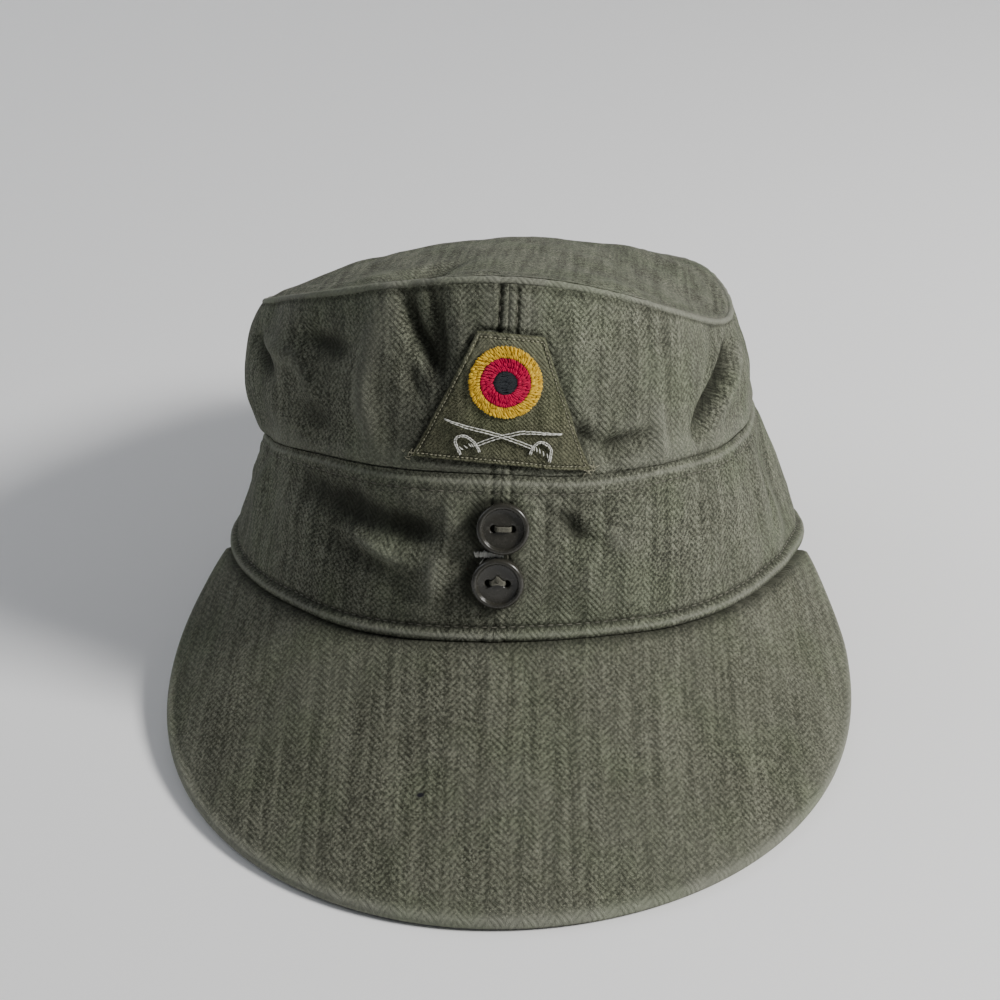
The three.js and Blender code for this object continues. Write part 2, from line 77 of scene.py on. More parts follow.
FRONT_REACH = 60
PATCH_CORNERS = ((-22.4, 53.4), (26.9, 50.3), (14.5, 86.8), (-3.6, 88.0))
Array = np.ndarray
Socket = bpy.types.NodeSocket
log = logging.getLogger("field_cap")


class Side(Enum):
    """The two halves of the wall."""

    LEFT = -1
    RIGHT = 1

    @property
    def word(self) -> str:
        """The half's name as used in the names of pieces."""
        return self.name.lower()


@dataclass(frozen=True)
class Section:
    """How far the wall lies from the axis at one level, and how high it is there."""

    level: float
    front: float
    back: float
    left: float
    right: float
    front_up: float
    back_up: float
    left_up: float
    right_up: float


@dataclass(frozen=True)
class Fold:
    """A soft fold or dent: its middle, its size, its lean from the upright and its push outwards."""

    name: str
    angle: float
    level: float
    length: float
    width: float
    lean: float
    push: float


@dataclass(frozen=True)
class Lift:
    """A place where the cloth stands higher or lower than the sections say."""

    name: str
    angle: float
    width: float
    level: float
    reach: float
    up: float


@dataclass(frozen=True)
class Crease:
    """A narrow fold along a line of (angle, level) places."""

    name: str
    path: tuple[tuple[float, float], ...]
    width: float
    push: float


SECTIONS = (
    Section(0, 94.0, 91.5, 89.2, 91.8, 0, 0, 0, 0),
    Section(23, 93.6, 90.0, 82.4, 83.4, 23, 21, 19, 21),
    Section(46, 91.8, 87.0, 77.0, 76.0, 46, 41, 38, 42),
    Section(64, 92.3, 88.5, 84.5, 76.6, 64, 56, 52, 57),
    Section(84, 90.0, 87.5, 83.4, 73.4, 84, 69, 66, 66),
    Section(100, 87.0, 84.0, 78.0, 70.2, 101.8, 78.5, 76.5, 73.5),
)
FOLDS = (
    Fold("tuck left of the patch", -13.5, 87, 12, 5.5, 24, -3.6),
    Fold("ridge beside the tuck", -20.5, 88, 12, 5.5, 14, 1.3),
    Fold("left front hollow", -42, 80, 15, 8, -38, -2.2),
    Fold("left side hollow", -84, 82, 15, 9, 60, -2.0),
    Fold("left overhang", -75, 56, 24, 8, 90, 1.6),
    Fold("right slanting dent", 55, 70, 22, 7, -32, -3.2),
    Fold("right shoulder", 38, 82, 16, 11, -20, 0.6),
    Fold("pinch beside the patch", 24, 54, 9, 5, 62, -1.8),
    Fold("flap side fold", 68, 24, 17, 4.5, -12, 2.0),
    Fold("flap side hollow", 80, 24, 16, 7, -20, -2.2),
    Fold("flap left fold", -64, 36, 13, 6, -28, 1.6),
    Fold("flap left hollow", -23, 33, 22, 6, 80, -1.4),
    Fold("flap right swell", 16, 18, 10, 8, 60, 0.7),
    Fold("back hollow", 158, 72, 24, 12, 62, -2.6),
    Fold("back ridge", -150, 66, 22, 12, -35, 1.8),
    Fold("back left dent", -118, 78, 18, 9, 20, -2.2),
    Fold("back right puff", 122, 88, 20, 16, 90, 2.4),
)
LIFTS = (
    Lift("right rear corner", 120, 34, 100, 40, 4.5),
    Lift("left rear corner", -130, 34, 100, 40, -5.2),
    Lift("left shoulder", -66, 32, 100, 30, 4.2),
    Lift("flap edge beside the buttons", 22, 16, 46, 16, -1.8),
    Lift("flap edge at the right", 56, 18, 46, 16, -2.0),
    Lift("flap edge at the left", -45, 22, 46, 16, 2.0),
)
CREASES = (
    Crease("tuck valley", ((-18.5, 100), (-15.5, 89.5), (-9, 75.5)), 2.0, -2.4),
    Crease("tuck lip", ((-21, 99), (-18, 89), (-11.5, 74)), 1.8, 1.0),
    Crease("second tuck", ((-11.2, 100), (-10, 88), (-8.2, 77)), 2.2, -3.0),
    Crease("ridge between the tucks", ((-14.8, 99), (-13, 89.5)), 1.6, 0.8),
    Crease("left band", ((-46, 89), (-28.5, 83)), 3.4, -2.6),
    Crease("left upright ridge", ((-24.5, 90), (-25.5, 70), (-24, 53)), 3.8, 2.2),
    Crease("valley beside the patch", ((-16.5, 80), (-13, 69)), 2.2, -1.3),
    Crease("left corner hollow", ((-68, 88), (-53, 74)), 3.8, -3.6),
    Crease("left curved ridge", ((-62, 88), (-45, 80.5), (-37.5, 68)), 2.4, 2.2),
    Crease("left low hollow", ((-52, 68), (-36, 58)), 6.5, -2.2),
    Crease("right dent", ((71, 90), (60, 70), (49, 55)), 3.2, -5.6),
    Crease("right dent lip", ((64, 88), (53, 68)), 2.8, 1.4),
    Crease("right dent far lip", ((77, 89), (67, 70), (56, 56)), 2.8, 1.8),
    Crease("right upright ridge", ((36, 67), (37, 51)), 2.8, 2.0),
    Crease("dimple by the patch", ((18.2, 63), (21, 56)), 2.2, -2.6),
    Crease("pinch", ((23, 55), (33, 57.5)), 2.6, -3.2),
    Crease("pinch lip", ((26, 60), (34, 62)), 2.4, 1.0),
    Crease("right gather under the seam", ((28, 93), (26, 85)), 2.2, -1.1),
    Crease("gather right of the seam", ((12.5, 93), (14, 87)), 2.0, -1.2),
    Crease("right gather", ((41, 92), (38, 84)), 2.4, -0.8),
    Crease("right side dash", ((71, 53), (78, 51)), 1.0, -0.9),
    Crease("flap wedge", ((-52, 39), (-32.5, 35), (-21.5, 32.5), (-12, 31)), 5.6, -3.3),
    Crease("flap wedge end", ((-22, 33), (-11, 30.8)), 4.0, -2.2),
    Crease("left of the buttons", ((-8.6, 40), (-8.6, 27)), 2.4, 1.5),
    Crease("flap short ridge", ((-31, 29), (-18.5, 21.5)), 2.2, 2.4),
    Crease("flap second valley", ((-38, 26), (-22, 19), (-13.5, 12)), 3.6, -2.5),
    Crease("flap bright ridge", ((-10.5, 26), (-12, 11)), 2.4, 1.7),
    Crease("flap left line", ((-76, 45), (-88, 22)), 2.2, 1.2),
    Crease("flap left valley", ((-66, 46), (-76, 26)), 3.0, -1.4),
    Crease("right of the buttons", ((9.5, 44), (11.6, 36), (9.5, 29)), 2.2, -1.5),
    Crease("star", ((14, 38), (18, 28)), 2.8, -3.2),
    Crease("star ridge", ((21.5, 33), (25, 25)), 2.2, 1.1),
    Crease("star upper ray", ((15.5, 42), (10.5, 46)), 1.6, -0.9),
    Crease("star right ray", ((16, 38), (30, 41)), 1.8, -0.9),
    Crease("flap right dip", ((45, 35), (40, 23)), 2.4, -1.4),
    Crease("flap end valley", ((71.5, 33), (66, 10)), 2.0, -2.0),
    Crease("flap end lip", ((67.3, 32), (61.8, 11)), 1.6, 0.9),
    Crease("back line", ((150, 56), (168, 82)), 3.0, -1.5),
    Crease("back left line", ((-142, 68), (-120, 88)), 3.0, -1.6),
    Crease("back right line", ((116, 56), (130, 86)), 2.8, 1.2),
    Crease("back flap pull", ((160, 34), (176, 24)), 3.0, -1.2),
    Crease("left rear flap pull", ((-112, 38), (-98, 20)), 3.0, -1.3),
    Crease("right rear flap pull", ((104, 40), (118, 18)), 3.0, -1.3),
)
TOP_CREASES = (
    Crease("tuck carried on", ((-27, -86), (-19, -71), (-12, -57)), 4.6, -4.4),
    Crease("second tuck carried on", ((-18, -84), (-12, -74)), 2.6, -1.2),
    Crease("ridge beside it", ((-38, -78), (-29, -62)), 4.0, 0.9),
    Crease("small crease", ((24, -73), (28, -80)), 1.0, -0.9),
    Crease("right hollow", ((18, -60), (48, -40)), 8.0, -1.0),
    Crease("middle swell", ((-30, -20), (30, -10)), 14.0, 0.9),
)


def turn_between(degrees: Array, start: float) -> Array:
    """Angle difference in the range from -180 to 180 degrees."""
    return np.mod(degrees - start + 180, 360) - 180


def unit(vectors: Array) -> Array:
    """Vectors scaled to length 1 along their last axis."""
    return vectors / np.linalg.norm(vectors, axis=-1, keepdims=True)


def turns(count: int) -> Array:
    """Even angles round a full turn."""
    return np.linspace(0, math.tau, count, endpoint=False)


def run_along(path: Array) -> Array:
    """How far along a path each of its points lies."""
    return np.concatenate([[0], np.cumsum(np.linalg.norm(np.diff(path, axis=0), axis=1))])


def read_path(path: Array, run: Array, at: Array) -> Array:
    """The values of a path at given distances along it."""
    return np.stack([np.interp(at, run, column) for column in path.T], axis=-1)


def ways_beside(path: Array) -> tuple[Array, Array]:
    """The ways along a flat path and to its left."""
    way = unit(np.gradient(path, axis=0))
    return way, np.stack([-way[:, 1], way[:, 0]], axis=-1)


def bump_of(distance: Array, width: float) -> Array:
    """A smooth hump that is 1 where the distance is 0."""
    return np.exp(-(distance / width) ** 2)


def step_down(distance: Array, place: float, width: float) -> Array:
    """A smooth step that is 1 well below a place and 0 well above it."""
    return 0.5 - 0.5 * np.tanh((distance - place) / (2 * width))


def crease_depth(places: Array, path: Sequence[tuple[float, float]], crease: Crease) -> Array:
    """How deep one crease is at flat places given in mm.

    Args:
        places: Places, the last axis holding two values.
        path: The crease's line in the same flat measure.
        crease: Its width and push.

    Returns:
        The push at each place.
    """
    line = np.array(path, float)
    lengths = np.linalg.norm(np.diff(line, axis=0), axis=1)
    before = run_along(line)
    nearest = np.full(places.shape[:-1], 1e9)
    share = np.zeros(places.shape[:-1])
    for k, length in enumerate(lengths):
        way = (line[k + 1] - line[k]) / length
        t = np.clip((places - line[k]) @ way, 0, length)
        away = np.linalg.norm(places - line[k] - t[..., None] * way, axis=-1)
        share = np.where(away < nearest, (before[k] + t) / before[-1], share)
        nearest = np.minimum(nearest, away)
    fade = 0.3 + 0.7 * np.sin(math.pi * share) ** 0.6
    return crease.push * fade * bump_of(nearest, crease.width)


@dataclass(frozen=True)
class ButtonPlace:
    """Where one button is sewn: mm to the right of the middle, level and roll in degrees."""

    name: str
    x: float
    level: float
    roll: float


BUTTON_PLACES = (ButtonPlace("upper", 3.0, 33.6, 0.0), ButtonPlace("lower", 1.5, 18.0, -2.0))


class WallForm:
    """The one surface that every cloth layer follows, found by angle round the head and level."""

    arc_per_degree = math.radians(1) * 85
    seam_lean = 4.2
    top_level = 100.0

    def __init__(self) -> None:
        """Reads the tables and draws the waves of the fine drape."""
        self.levels = np.array([row.level for row in SECTIONS])
        names = ("front", "back", "left", "right", "front_up", "back_up", "left_up", "right_up")
        self.columns = {name: np.array([getattr(row, name) for row in SECTIONS]) for name in names}
        self.slopes = {name: np.gradient(values, self.levels) for name, values in self.columns.items()}
        rng = np.random.default_rng(SEED)
        count = 30
        lengths = rng.uniform(11, 42, count)
        ways = unit(rng.normal(size=(count, 3)) * np.array([1.0, 1.0, 0.55]))
        self.waves = ways * (math.tau / lengths)[:, None]
        self.heights = lengths * 0.0056
        self.starts = rng.uniform(0, math.tau, count)

    def read(self, name: str, level: Array) -> Array:
        """Smooth reading of one column of the sections at any level."""
        i = np.clip(np.searchsorted(self.levels, level, side="left") - 1, 0, len(self.levels) - 2)
        span = self.levels[i + 1] - self.levels[i]
        t = (level - self.levels[i]) / span
        values, slopes = self.columns[name], self.slopes[name]
        start = (2 * t ** 3 - 3 * t ** 2 + 1) * values[i]
        end = (3 * t ** 2 - 2 * t ** 3) * values[i + 1]
        leave = (t ** 3 - 2 * t ** 2 + t) * span * slopes[i]
        arrive = (t ** 3 - t ** 2) * span * slopes[i + 1]
        return start + end + leave + arrive

    def bare(self, degrees: Array, level: Array) -> Array:
        """The wall without its folds."""
        degrees, level = np.broadcast_arrays(np.asarray(degrees, float), np.asarray(level, float))
        c, s = np.cos(np.radians(degrees)), np.sin(np.radians(degrees))
        side = np.where(s > 0, self.read("right", level), self.read("left", level))
        end = np.where(c > 0, self.read("front", level), self.read("back", level))
        side_up = np.where(s > 0, self.read("right_up", level), self.read("left_up", level))
        end_up = np.where(c > 0, self.read("front_up", level), self.read("back_up", level))
        up = end_up * c * c + side_up * s * s
        for lift in LIFTS:
            away = turn_between(degrees, lift.angle) / lift.width
            above = (level - lift.level) / lift.reach
            up = up + lift.up * np.exp(-away ** 2 - above ** 2)
        return np.stack([side * s, -end * c, up], axis=-1)

    def fold_push(self, degrees: Array, level: Array) -> Array:
        """How far the soft folds push the cloth outwards."""
        push = np.zeros(np.broadcast(degrees, level).shape)
        for fold in FOLDS:
            across = turn_between(degrees, fold.angle) * self.arc_per_degree
            up = level - fold.level
            c, s = math.cos(math.radians(fold.lean)), math.sin(math.radians(fold.lean))
            along = (up * c - across * s) / fold.length
            off = (across * c + up * s) / fold.width
            push += fold.push * np.exp(-along ** 2 - off ** 2)
        return push

    def crease_push(self, degrees: Array, level: Array) -> Array:
        """How far the narrow creases push the cloth outwards."""
        degrees, level = np.broadcast_arrays(np.asarray(degrees, float), np.asarray(level, float))
        push = np.zeros(degrees.shape)
        for crease in CREASES:
            middle = crease.path[len(crease.path) // 2][0]
            across = turn_between(degrees, middle) * self.arc_per_degree
            path = [((angle - middle) * self.arc_per_degree, up) for angle, up in crease.path]
            push += crease_depth(np.stack([across, level], axis=-1), path, crease)
        return push

    def drape(self, points: Array) -> Array:
        """Fine, uneven waves of worn cloth at any points."""
        phase = points @ self.waves.T + self.starts
        waves = np.sin(phase) @ self.heights
        ridged = (1 - np.abs(np.sin(phase[..., :8] * 0.5))) ** 4
        return waves * 0.75 + ridged @ self.heights[:8] * 0.9

    def frame(self, degrees: Array, level: Array) -> tuple[Array, ...]:
        """Base point, direction round, direction up and direction out at each place."""
        step = 0.05
        base = self.bare(degrees, level)
        round_way = unit(self.bare(np.asarray(degrees) + step, level) - base)
        up_way = unit(self.bare(degrees, np.asarray(level) + step) - base)
        return base, round_way, up_way, unit(np.cross(round_way, up_way))

    def point(self, degrees: Array, level: Array, offset: Array | float) -> Array:
        """A point of the folded wall, moved outwards by an offset."""
        base, _, _, out = self.frame(degrees, level)
        away = self.fold_push(np.asarray(degrees), np.asarray(level)) + offset
        return base + out * np.asarray(away)[..., None]

    def fine(self, degrees: Array, level: Array) -> Array:
        """The fine relief that both crown and patch follow: creases and drape."""
        points = self.bare(degrees, level)
        return self.crease_push(np.asarray(degrees), np.asarray(level)) + self.drape(points)

    def lean(self, level: Array) -> Array:
        """How far the crown's cloth leans out over the top edge of the flap."""
        return 1.7 * step_down(-level, -48.6, 0.5) * bump_of(np.maximum(level - 50.5, 0), 5.0)

    def seam_angle(self, level: Array) -> Array:
        """Where the front seam lies at a level."""
        return self.seam_lean * np.asarray(level) / self.top_level

    def half_angles(self, side: Side, level: Array, step: float) -> Array:
        """Angle of each column of one half, from the front seam to the back one, at its levels."""
        share = seam_spread(HALF_TURN * self.arc_per_degree, step)[:, None]
        inset = side.value * SEAM_INSET / self.arc_per_degree
        front = self.seam_angle(level) + inset
        return front + (side.value * 180 - inset - front) * share

    def front_angle(self, x: Array, level: Array) -> Array:
        """The angle of a place on the front by its distance to the right of the middle."""
        x, level = np.broadcast_arrays(np.asarray(x, float), np.asarray(level, float))
        half = np.where(x > 0, self.read("right", level), self.read("left", level))
        return np.degrees(np.arcsin(np.clip(x / half, -1, 1)))

    def seam_distance(self, degrees: Array, level: Array) -> Array:
        """Distance in mm from the nearer of the front and back seams."""
        front = np.abs(turn_between(degrees, 0) - self.seam_angle(level))
        back = 180 - np.abs(turn_between(degrees, 0))
        return np.minimum(front, back) * self.arc_per_degree

    def seam_relief(self, degrees: Array, level: Array) -> Array:
        """The raised strip along the seams, with a stitched groove on each side of it."""
        distance = self.seam_distance(degrees, level)
        dimple = 0.8 + 0.2 * np.cos(math.tau * np.asarray(level) / STITCH_PITCH)
        strip = 0.3 * step_down(distance, STRIP_HALF - 0.4, 0.16)
        middle = -0.28 * bump_of(distance, 0.5)
        groove = -1.0 * dimple * bump_of(distance - STRIP_HALF, 0.85)
        return strip + middle + groove

    def gathers(self, degrees: Array, distance: Array, reach: float) -> Array:
        """Small puckers that run square to a stitched line and fade away from it."""
        turn = np.radians(degrees)
        waves = np.sin(68 * turn + 1.1) + 0.8 * np.sin(97 * turn + 0.4) + 0.7 * np.sin(45 * turn + 2.3)
        return waves / 2.5 * bump_of(distance, reach)


def patch_distance(x: Array, level: Array) -> Array:
    """How far outside the badge patch a place is, in mm; below zero inside it."""
    corners = np.array(PATCH_CORNERS)
    places = np.stack([x, level], axis=-1)
    sides = []
    for start, end in zip(corners, np.roll(corners, -1, axis=0)):
        way = (end - start) / np.linalg.norm(end - start)
        sides.append((places - start) @ np.array([way[1], -way[0]]))
    return np.max(sides, axis=0)


class Placement:
    """Turns the cap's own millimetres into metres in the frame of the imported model."""

    rest_tilt = 11.8

    def __init__(self, wall: WallForm) -> None:
        """Finds the place from the upper button, whose outline is even about its middle."""
        tilt = math.radians(-self.rest_tilt)
        c, s = math.cos(tilt), math.sin(tilt)
        self.turn = np.array([[1, 0, 0], [0, c, -s], [0, s, c]])
        seat, _, _, out = Button.seat(wall, BUTTON_PLACES[0])
        low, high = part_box("button_upper")
        middle = (np.array(low) + np.array(high)) / 2
        self.move = middle - self.turn @ (seat + out * Button.height / 2) * MM

    def points(self, points: Array) -> Array:
        """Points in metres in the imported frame."""
        return points @ self.turn.T * MM + self.move

    def ways(self, ways: Array) -> Array:
        """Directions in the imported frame."""
        return ways @ self.turn.T


@dataclass
class Sheet:
    """Points, faces and surface data of one closed mesh, in the cap's millimetres."""

    points: Array
    faces: list[list[int]]
    corner_uv: Array
    wear: Array
    tone: Array

    @staticmethod
    def join(sheets: Sequence["Sheet"]) -> "Sheet":
        """Several closed meshes as one.

        Args:
            sheets: The meshes to put together.

        Returns:
            One sheet that holds them all.
        """
        starts = np.cumsum([0] + [len(sheet.points) for sheet in sheets])
        faces = [[index + int(start) for index in face]
                 for sheet, start in zip(sheets, starts) for face in sheet.faces]
        return Sheet(
            np.concatenate([sheet.points for sheet in sheets]),
            faces,
            np.concatenate([sheet.corner_uv for sheet in sheets]),
            np.concatenate([sheet.wear for sheet in sheets]),
            np.concatenate([sheet.tone for sheet in sheets]),
        )


def grid_faces(columns: int, rows: int, start: int, loop: bool, flip: bool) -> Array:
    """Faces of a grid of points that is stored column by column.

    Args:
        columns: How many columns the grid has.
        rows: How many rows it has.
        start: Index of its first point.
        loop: Whether the last column joins the first.
        flip: Whether the faces look the other way.

    Returns:
        An array with four indices for each face.
    """
    spans = columns if loop else columns - 1
    i, j = np.meshgrid(np.arange(spans), np.arange(rows - 1), indexing="ij")
    near, far = i * rows, ((i + 1) % columns) * rows
    quads = np.stack([near + j, far + j, far + j + 1, near + j + 1], axis=-1).reshape(-1, 4) + start
    return quads[:, ::-1] if flip else quads


def grid_uv(uv: Array, flip: bool) -> Array:
    """Texture places of a grid's face corners; a loop's grid has one more column than its points."""
    near, far = uv[:-1], uv[1:]
    corners = np.stack([near[:, :-1], far[:, :-1], far[:, 1:], near[:, 1:]], axis=-2).reshape(-1, 4, 2)
    return corners[:, ::-1] if flip else corners


def shell(outer: Array, inner: Array, uv: Array, wear: Array, loop: bool = False,
          hub: bool = False) -> Sheet:
    """A thin closed body between two grids of points.

    Args:
        outer: Outer face, columns by rows by 3.
        inner: Inner face of the same shape.
        uv: Cloth places in mm for the grid, with one more column where it is a loop.
        wear: How worn each outer point is, from 0 to 1, and below 0 where shade is painted.
        loop: Whether the last column joins the first.
        hub: Whether the last row of a loop is closed by a fan on each face, and not by a rim.

    Returns:
        The closed sheet.
    """
    columns, rows = outer.shape[:2]
    count = columns * rows
    spans = np.arange(columns if loop else columns - 1)
    first, after = spans * rows, (spans + 1) % columns * rows
    rims = [(first, after, uv[spans, 0], uv[spans + 1, 0], True)]
    if not hub:
        rims.append((first + rows - 1, after + rows - 1, uv[spans, -1], uv[spans + 1, -1], False))
    if not loop:
        steps = np.arange(rows - 1)
        for column, flip in ((0, False), (columns - 1, True)):
            a = column * rows + steps
            rims.append((a, a + 1, uv[column, :-1], uv[column, 1:], flip))
    quads = [grid_faces(columns, rows, 0, loop, False), grid_faces(columns, rows, count, loop, True)]
    corners = [grid_uv(uv, False), grid_uv(uv, True)]
    for a, b, start, end, flip in rims:
        rim = np.stack([a, b, b + count, a + count], axis=-1)
        places = np.stack([start, end, end, start], axis=1)
        quads.append(rim[:, ::-1] if flip else rim)
        corners.append(places[:, ::-1] if flip else places)
    faces = np.concatenate(quads).tolist()
    points = [outer.reshape(-1, 3), inner.reshape(-1, 3)]
    if hub:
        points.append(np.stack([outer[:, -1].mean(axis=0), inner[:, -1].mean(axis=0)]))
        middle = np.broadcast_to(uv[:-1, -1].mean(axis=0), (columns, 2))
        for side, flip in ((0, False), (1, True)):
            last = side * count + rows - 1
            fan = np.stack([first + last, after + last, np.full(columns, 2 * count + side)], axis=-1)
            places = np.stack([uv[spans, -1], uv[spans + 1, -1], middle], axis=1)
            faces += (fan[:, ::-1] if flip else fan).tolist()
            corners.append(places[:, ::-1] if flip else places)
    points = np.concatenate(points)
    worn_and_shaded = np.append(wear.reshape(-1), np.zeros(len(points) - count))
    flat = np.concatenate([part.reshape(-1, 2) for part in corners])
    return Sheet(points, faces, flat, worn_and_shaded, np.full(len(points), 0.5))


def ring_faces(count: int, sides: int) -> Array:
    """Faces between rings of points that are stored ring by ring."""
    i, j = np.meshgrid(np.arange(count - 1) * sides, np.arange(sides), indexing="ij")
    after = (j + 1) % sides
    return np.stack([i + j, i + after, i + sides + after, i + sides + j], axis=-1).reshape(-1, 4)


def ring_uv(uv: Array) -> Array:
    """Texture places of the face corners between rings, for one body or for many."""
    near, far = uv[..., :-1, :, :], uv[..., 1:, :, :]
    corners = [near[..., :-1, :], near[..., 1:, :], far[..., 1:, :], far[..., :-1, :]]
    return np.stack(corners, axis=-2).reshape(-1, 2)


def closed_rings(rings: Array, uv: Array, wear: Array, tone: float = 0.5) -> Sheet:
    """A tube of rings, closed at both ends by a flat face, or a stack of rings like a turned body.

    Args:
        rings: Rings of points, rings by sides by 3.
        uv: Cloth places of shape rings by sides + 1 by 2.
        wear: How worn each point is, and below 0 where shade is painted.
        tone: Shade of the whole tube, 0.5 in the middle.

    Returns:
        The closed sheet.
    """
    count, sides = rings.shape[:2]
    faces = ring_faces(count, sides).tolist()
    faces.append(list(range(sides))[::-1])
    faces.append(list(range((count - 1) * sides, count * sides)))
    corners = np.concatenate([ring_uv(uv), uv[0, :sides][::-1], uv[-1, :sides]])
    points = rings.reshape(-1, 3)
    return Sheet(points, faces, corners, wear.reshape(-1), np.full(len(points), tone))


def turned_body(profile: Array, sides: int, x: float = 0.0) -> Sheet:
    """A body turned about an upright axis at x, from the radius and height along its section."""
    turn = turns(sides)
    rings = np.stack([x + profile[:, :1] * np.cos(turn), profile[:, :1] * np.sin(turn),
                      np.broadcast_to(profile[:, 1:], (len(profile), sides))], axis=-1)
    return faced(closed_rings(rings, np.zeros((len(profile), sides + 1, 2)), np.zeros(rings.shape[:2])))


def round_ways(turn: Array, across: Array, beside: Array) -> Array:
    """Ways outwards round each point of a path, from the two ways square to it there."""
    return np.cos(turn)[:, None] * across[:, None] + np.sin(turn)[:, None] * beside[:, None]


def tube(path: Array, radius: Array | float, sides: int = 8, tone: float = 0.5) -> Sheet:
    """A round thread or cord along a path.

    Args:
        path: Points of the path.
        radius: One radius, or one for each point.
        sides: Corners of its section.
        tone: Shade of the thread.

    Returns:
        The closed tube.
    """
    along = unit(np.gradient(path, axis=0))
    guide = np.array([0.31, 0.17, 0.93])
    across = unit(np.cross(along, guide))
    beside = np.cross(across, along)
    size = np.broadcast_to(radius, len(path))[:, None, None]
    girth = np.linspace(0, math.tau * float(np.max(radius)), sides + 1)
    uv = np.stack(np.meshgrid(run_along(path), girth, indexing="ij"), axis=-1)
    rings = path[:, None] + size * round_ways(turns(sides), across, beside)
    return closed_rings(rings, uv, np.zeros((len(path), sides)), tone)


@dataclass(frozen=True)
class StitchStyle:
    """How one kind of stitch lies on the cloth: sizes in mm."""

    radius: float
    rise: float
    dip: float = 0.12
    sides: int = 6
    steps: int = 6


THREAD_STYLE = StitchStyle(radius=0.2, rise=0.16)
EDGE_STYLE = StitchStyle(radius=0.16, rise=0.22)
SATIN_STYLE = StitchStyle(radius=0.25, rise=0.1, dip=0.06)
DISC_STYLE = StitchStyle(radius=0.18, rise=0.1, dip=0.05)
GRIP_STYLE = StitchStyle(radius=0.17, rise=0.26, dip=0.05)


def stitches(starts: Array, ends: Array, outs: Array, style: StitchStyle, tones: Array) -> Sheet:
    """Many short stitches, each an arched thread whose ends go into the cloth.

    Args:
        starts: Where each stitch comes up.
        ends: Where it goes down.
        outs: Direction away from the cloth at each stitch.
        style: Thickness and arch of the stitches.
        tones: Shade of each stitch, 0.5 in the middle.

    Returns:
        All stitches as one sheet.
    """
    t = np.linspace(0, 1, style.steps)
    arch = -style.dip + (style.rise + style.dip) * np.sin(math.pi * t) ** 0.6
    size = style.radius * (0.45 + 0.55 * np.sin(math.pi * t) ** 0.5)
    along = unit(ends - starts)
    across = unit(np.cross(along, outs))
    lift = np.cross(across, along)
    centre = starts[:, None] + (ends - starts)[:, None] * t[:, None] + outs[:, None] * arch[:, None]
    rings = centre[:, :, None] + round_ways(turns(style.sides), across, lift)[:, None] * size[:, None, None]
    count, per = len(starts), style.steps * style.sides
    shift = np.arange(count) * per
    faces = (ring_faces(style.steps, style.sides)[None] + shift[:, None, None]).reshape(-1, 4).tolist()
    first, last = np.arange(style.sides)[::-1], per - style.sides + np.arange(style.sides)
    faces += (first[None] + shift[:, None]).tolist() + (last[None] + shift[:, None]).tolist()
    length = np.linalg.norm(ends - starts, axis=1)
    girth = np.linspace(0, math.tau * style.radius, style.sides + 1)
    uv = np.stack(np.broadcast_arrays(t[None, :, None] * length[:, None, None], girth), axis=-1)
    heads = uv[:, 0, :-1][:, ::-1].reshape(-1, 2)
    tails = uv[:, -1, :-1].reshape(-1, 2)
    points = rings.reshape(-1, 3)
    corners = np.concatenate([ring_uv(uv), heads, tails])
    return Sheet(points, faces, corners, np.zeros(len(points)), np.repeat(tones, per))


def smooth_line(points: Sequence[Sequence[float]], count: int) -> Array:
    """A smooth curve through a few points.

    Args:
        points: The points in order.
        count: How many points the result has.

    Returns:
        Points of the curve.
    """
    given = np.array(points, float)
    last = len(given) - 1
    place = np.linspace(0, last, count)
    i = np.minimum(place.astype(int), last - 1)
    t = (place - i)[:, None]
    before, after = given[np.maximum(i - 1, 0)], given[np.minimum(i + 2, last)]
    a, b = given[i], given[i + 1]
    leave, arrive = (b - before) / 2, (after - a) / 2
    return ((2 * a - 2 * b + leave + arrive) * t ** 3 + (-3 * a + 3 * b - 2 * leave - arrive) * t ** 2
            + leave * t + a)


def seam_spread(total: float, coarse: float) -> Array:
    """Shares from 0 to 1 that lie close together at both ends, where the stitched seams are.

    Args:
        total: Length in mm from the front seam to the back seam.
        coarse: Widest step in mm.

    Returns:
        The shares in order.
    """
    fine = list(np.arange(0, 4.6, 0.3))
    place, step = fine[-1], 0.3
    while place < total / 2:
        step = min(step * 1.3, coarse)
        place += step
        fine.append(place)
    half = np.array(fine) / fine[-1] / 2
    return np.concatenate([half, 1 - half[-2::-1]])


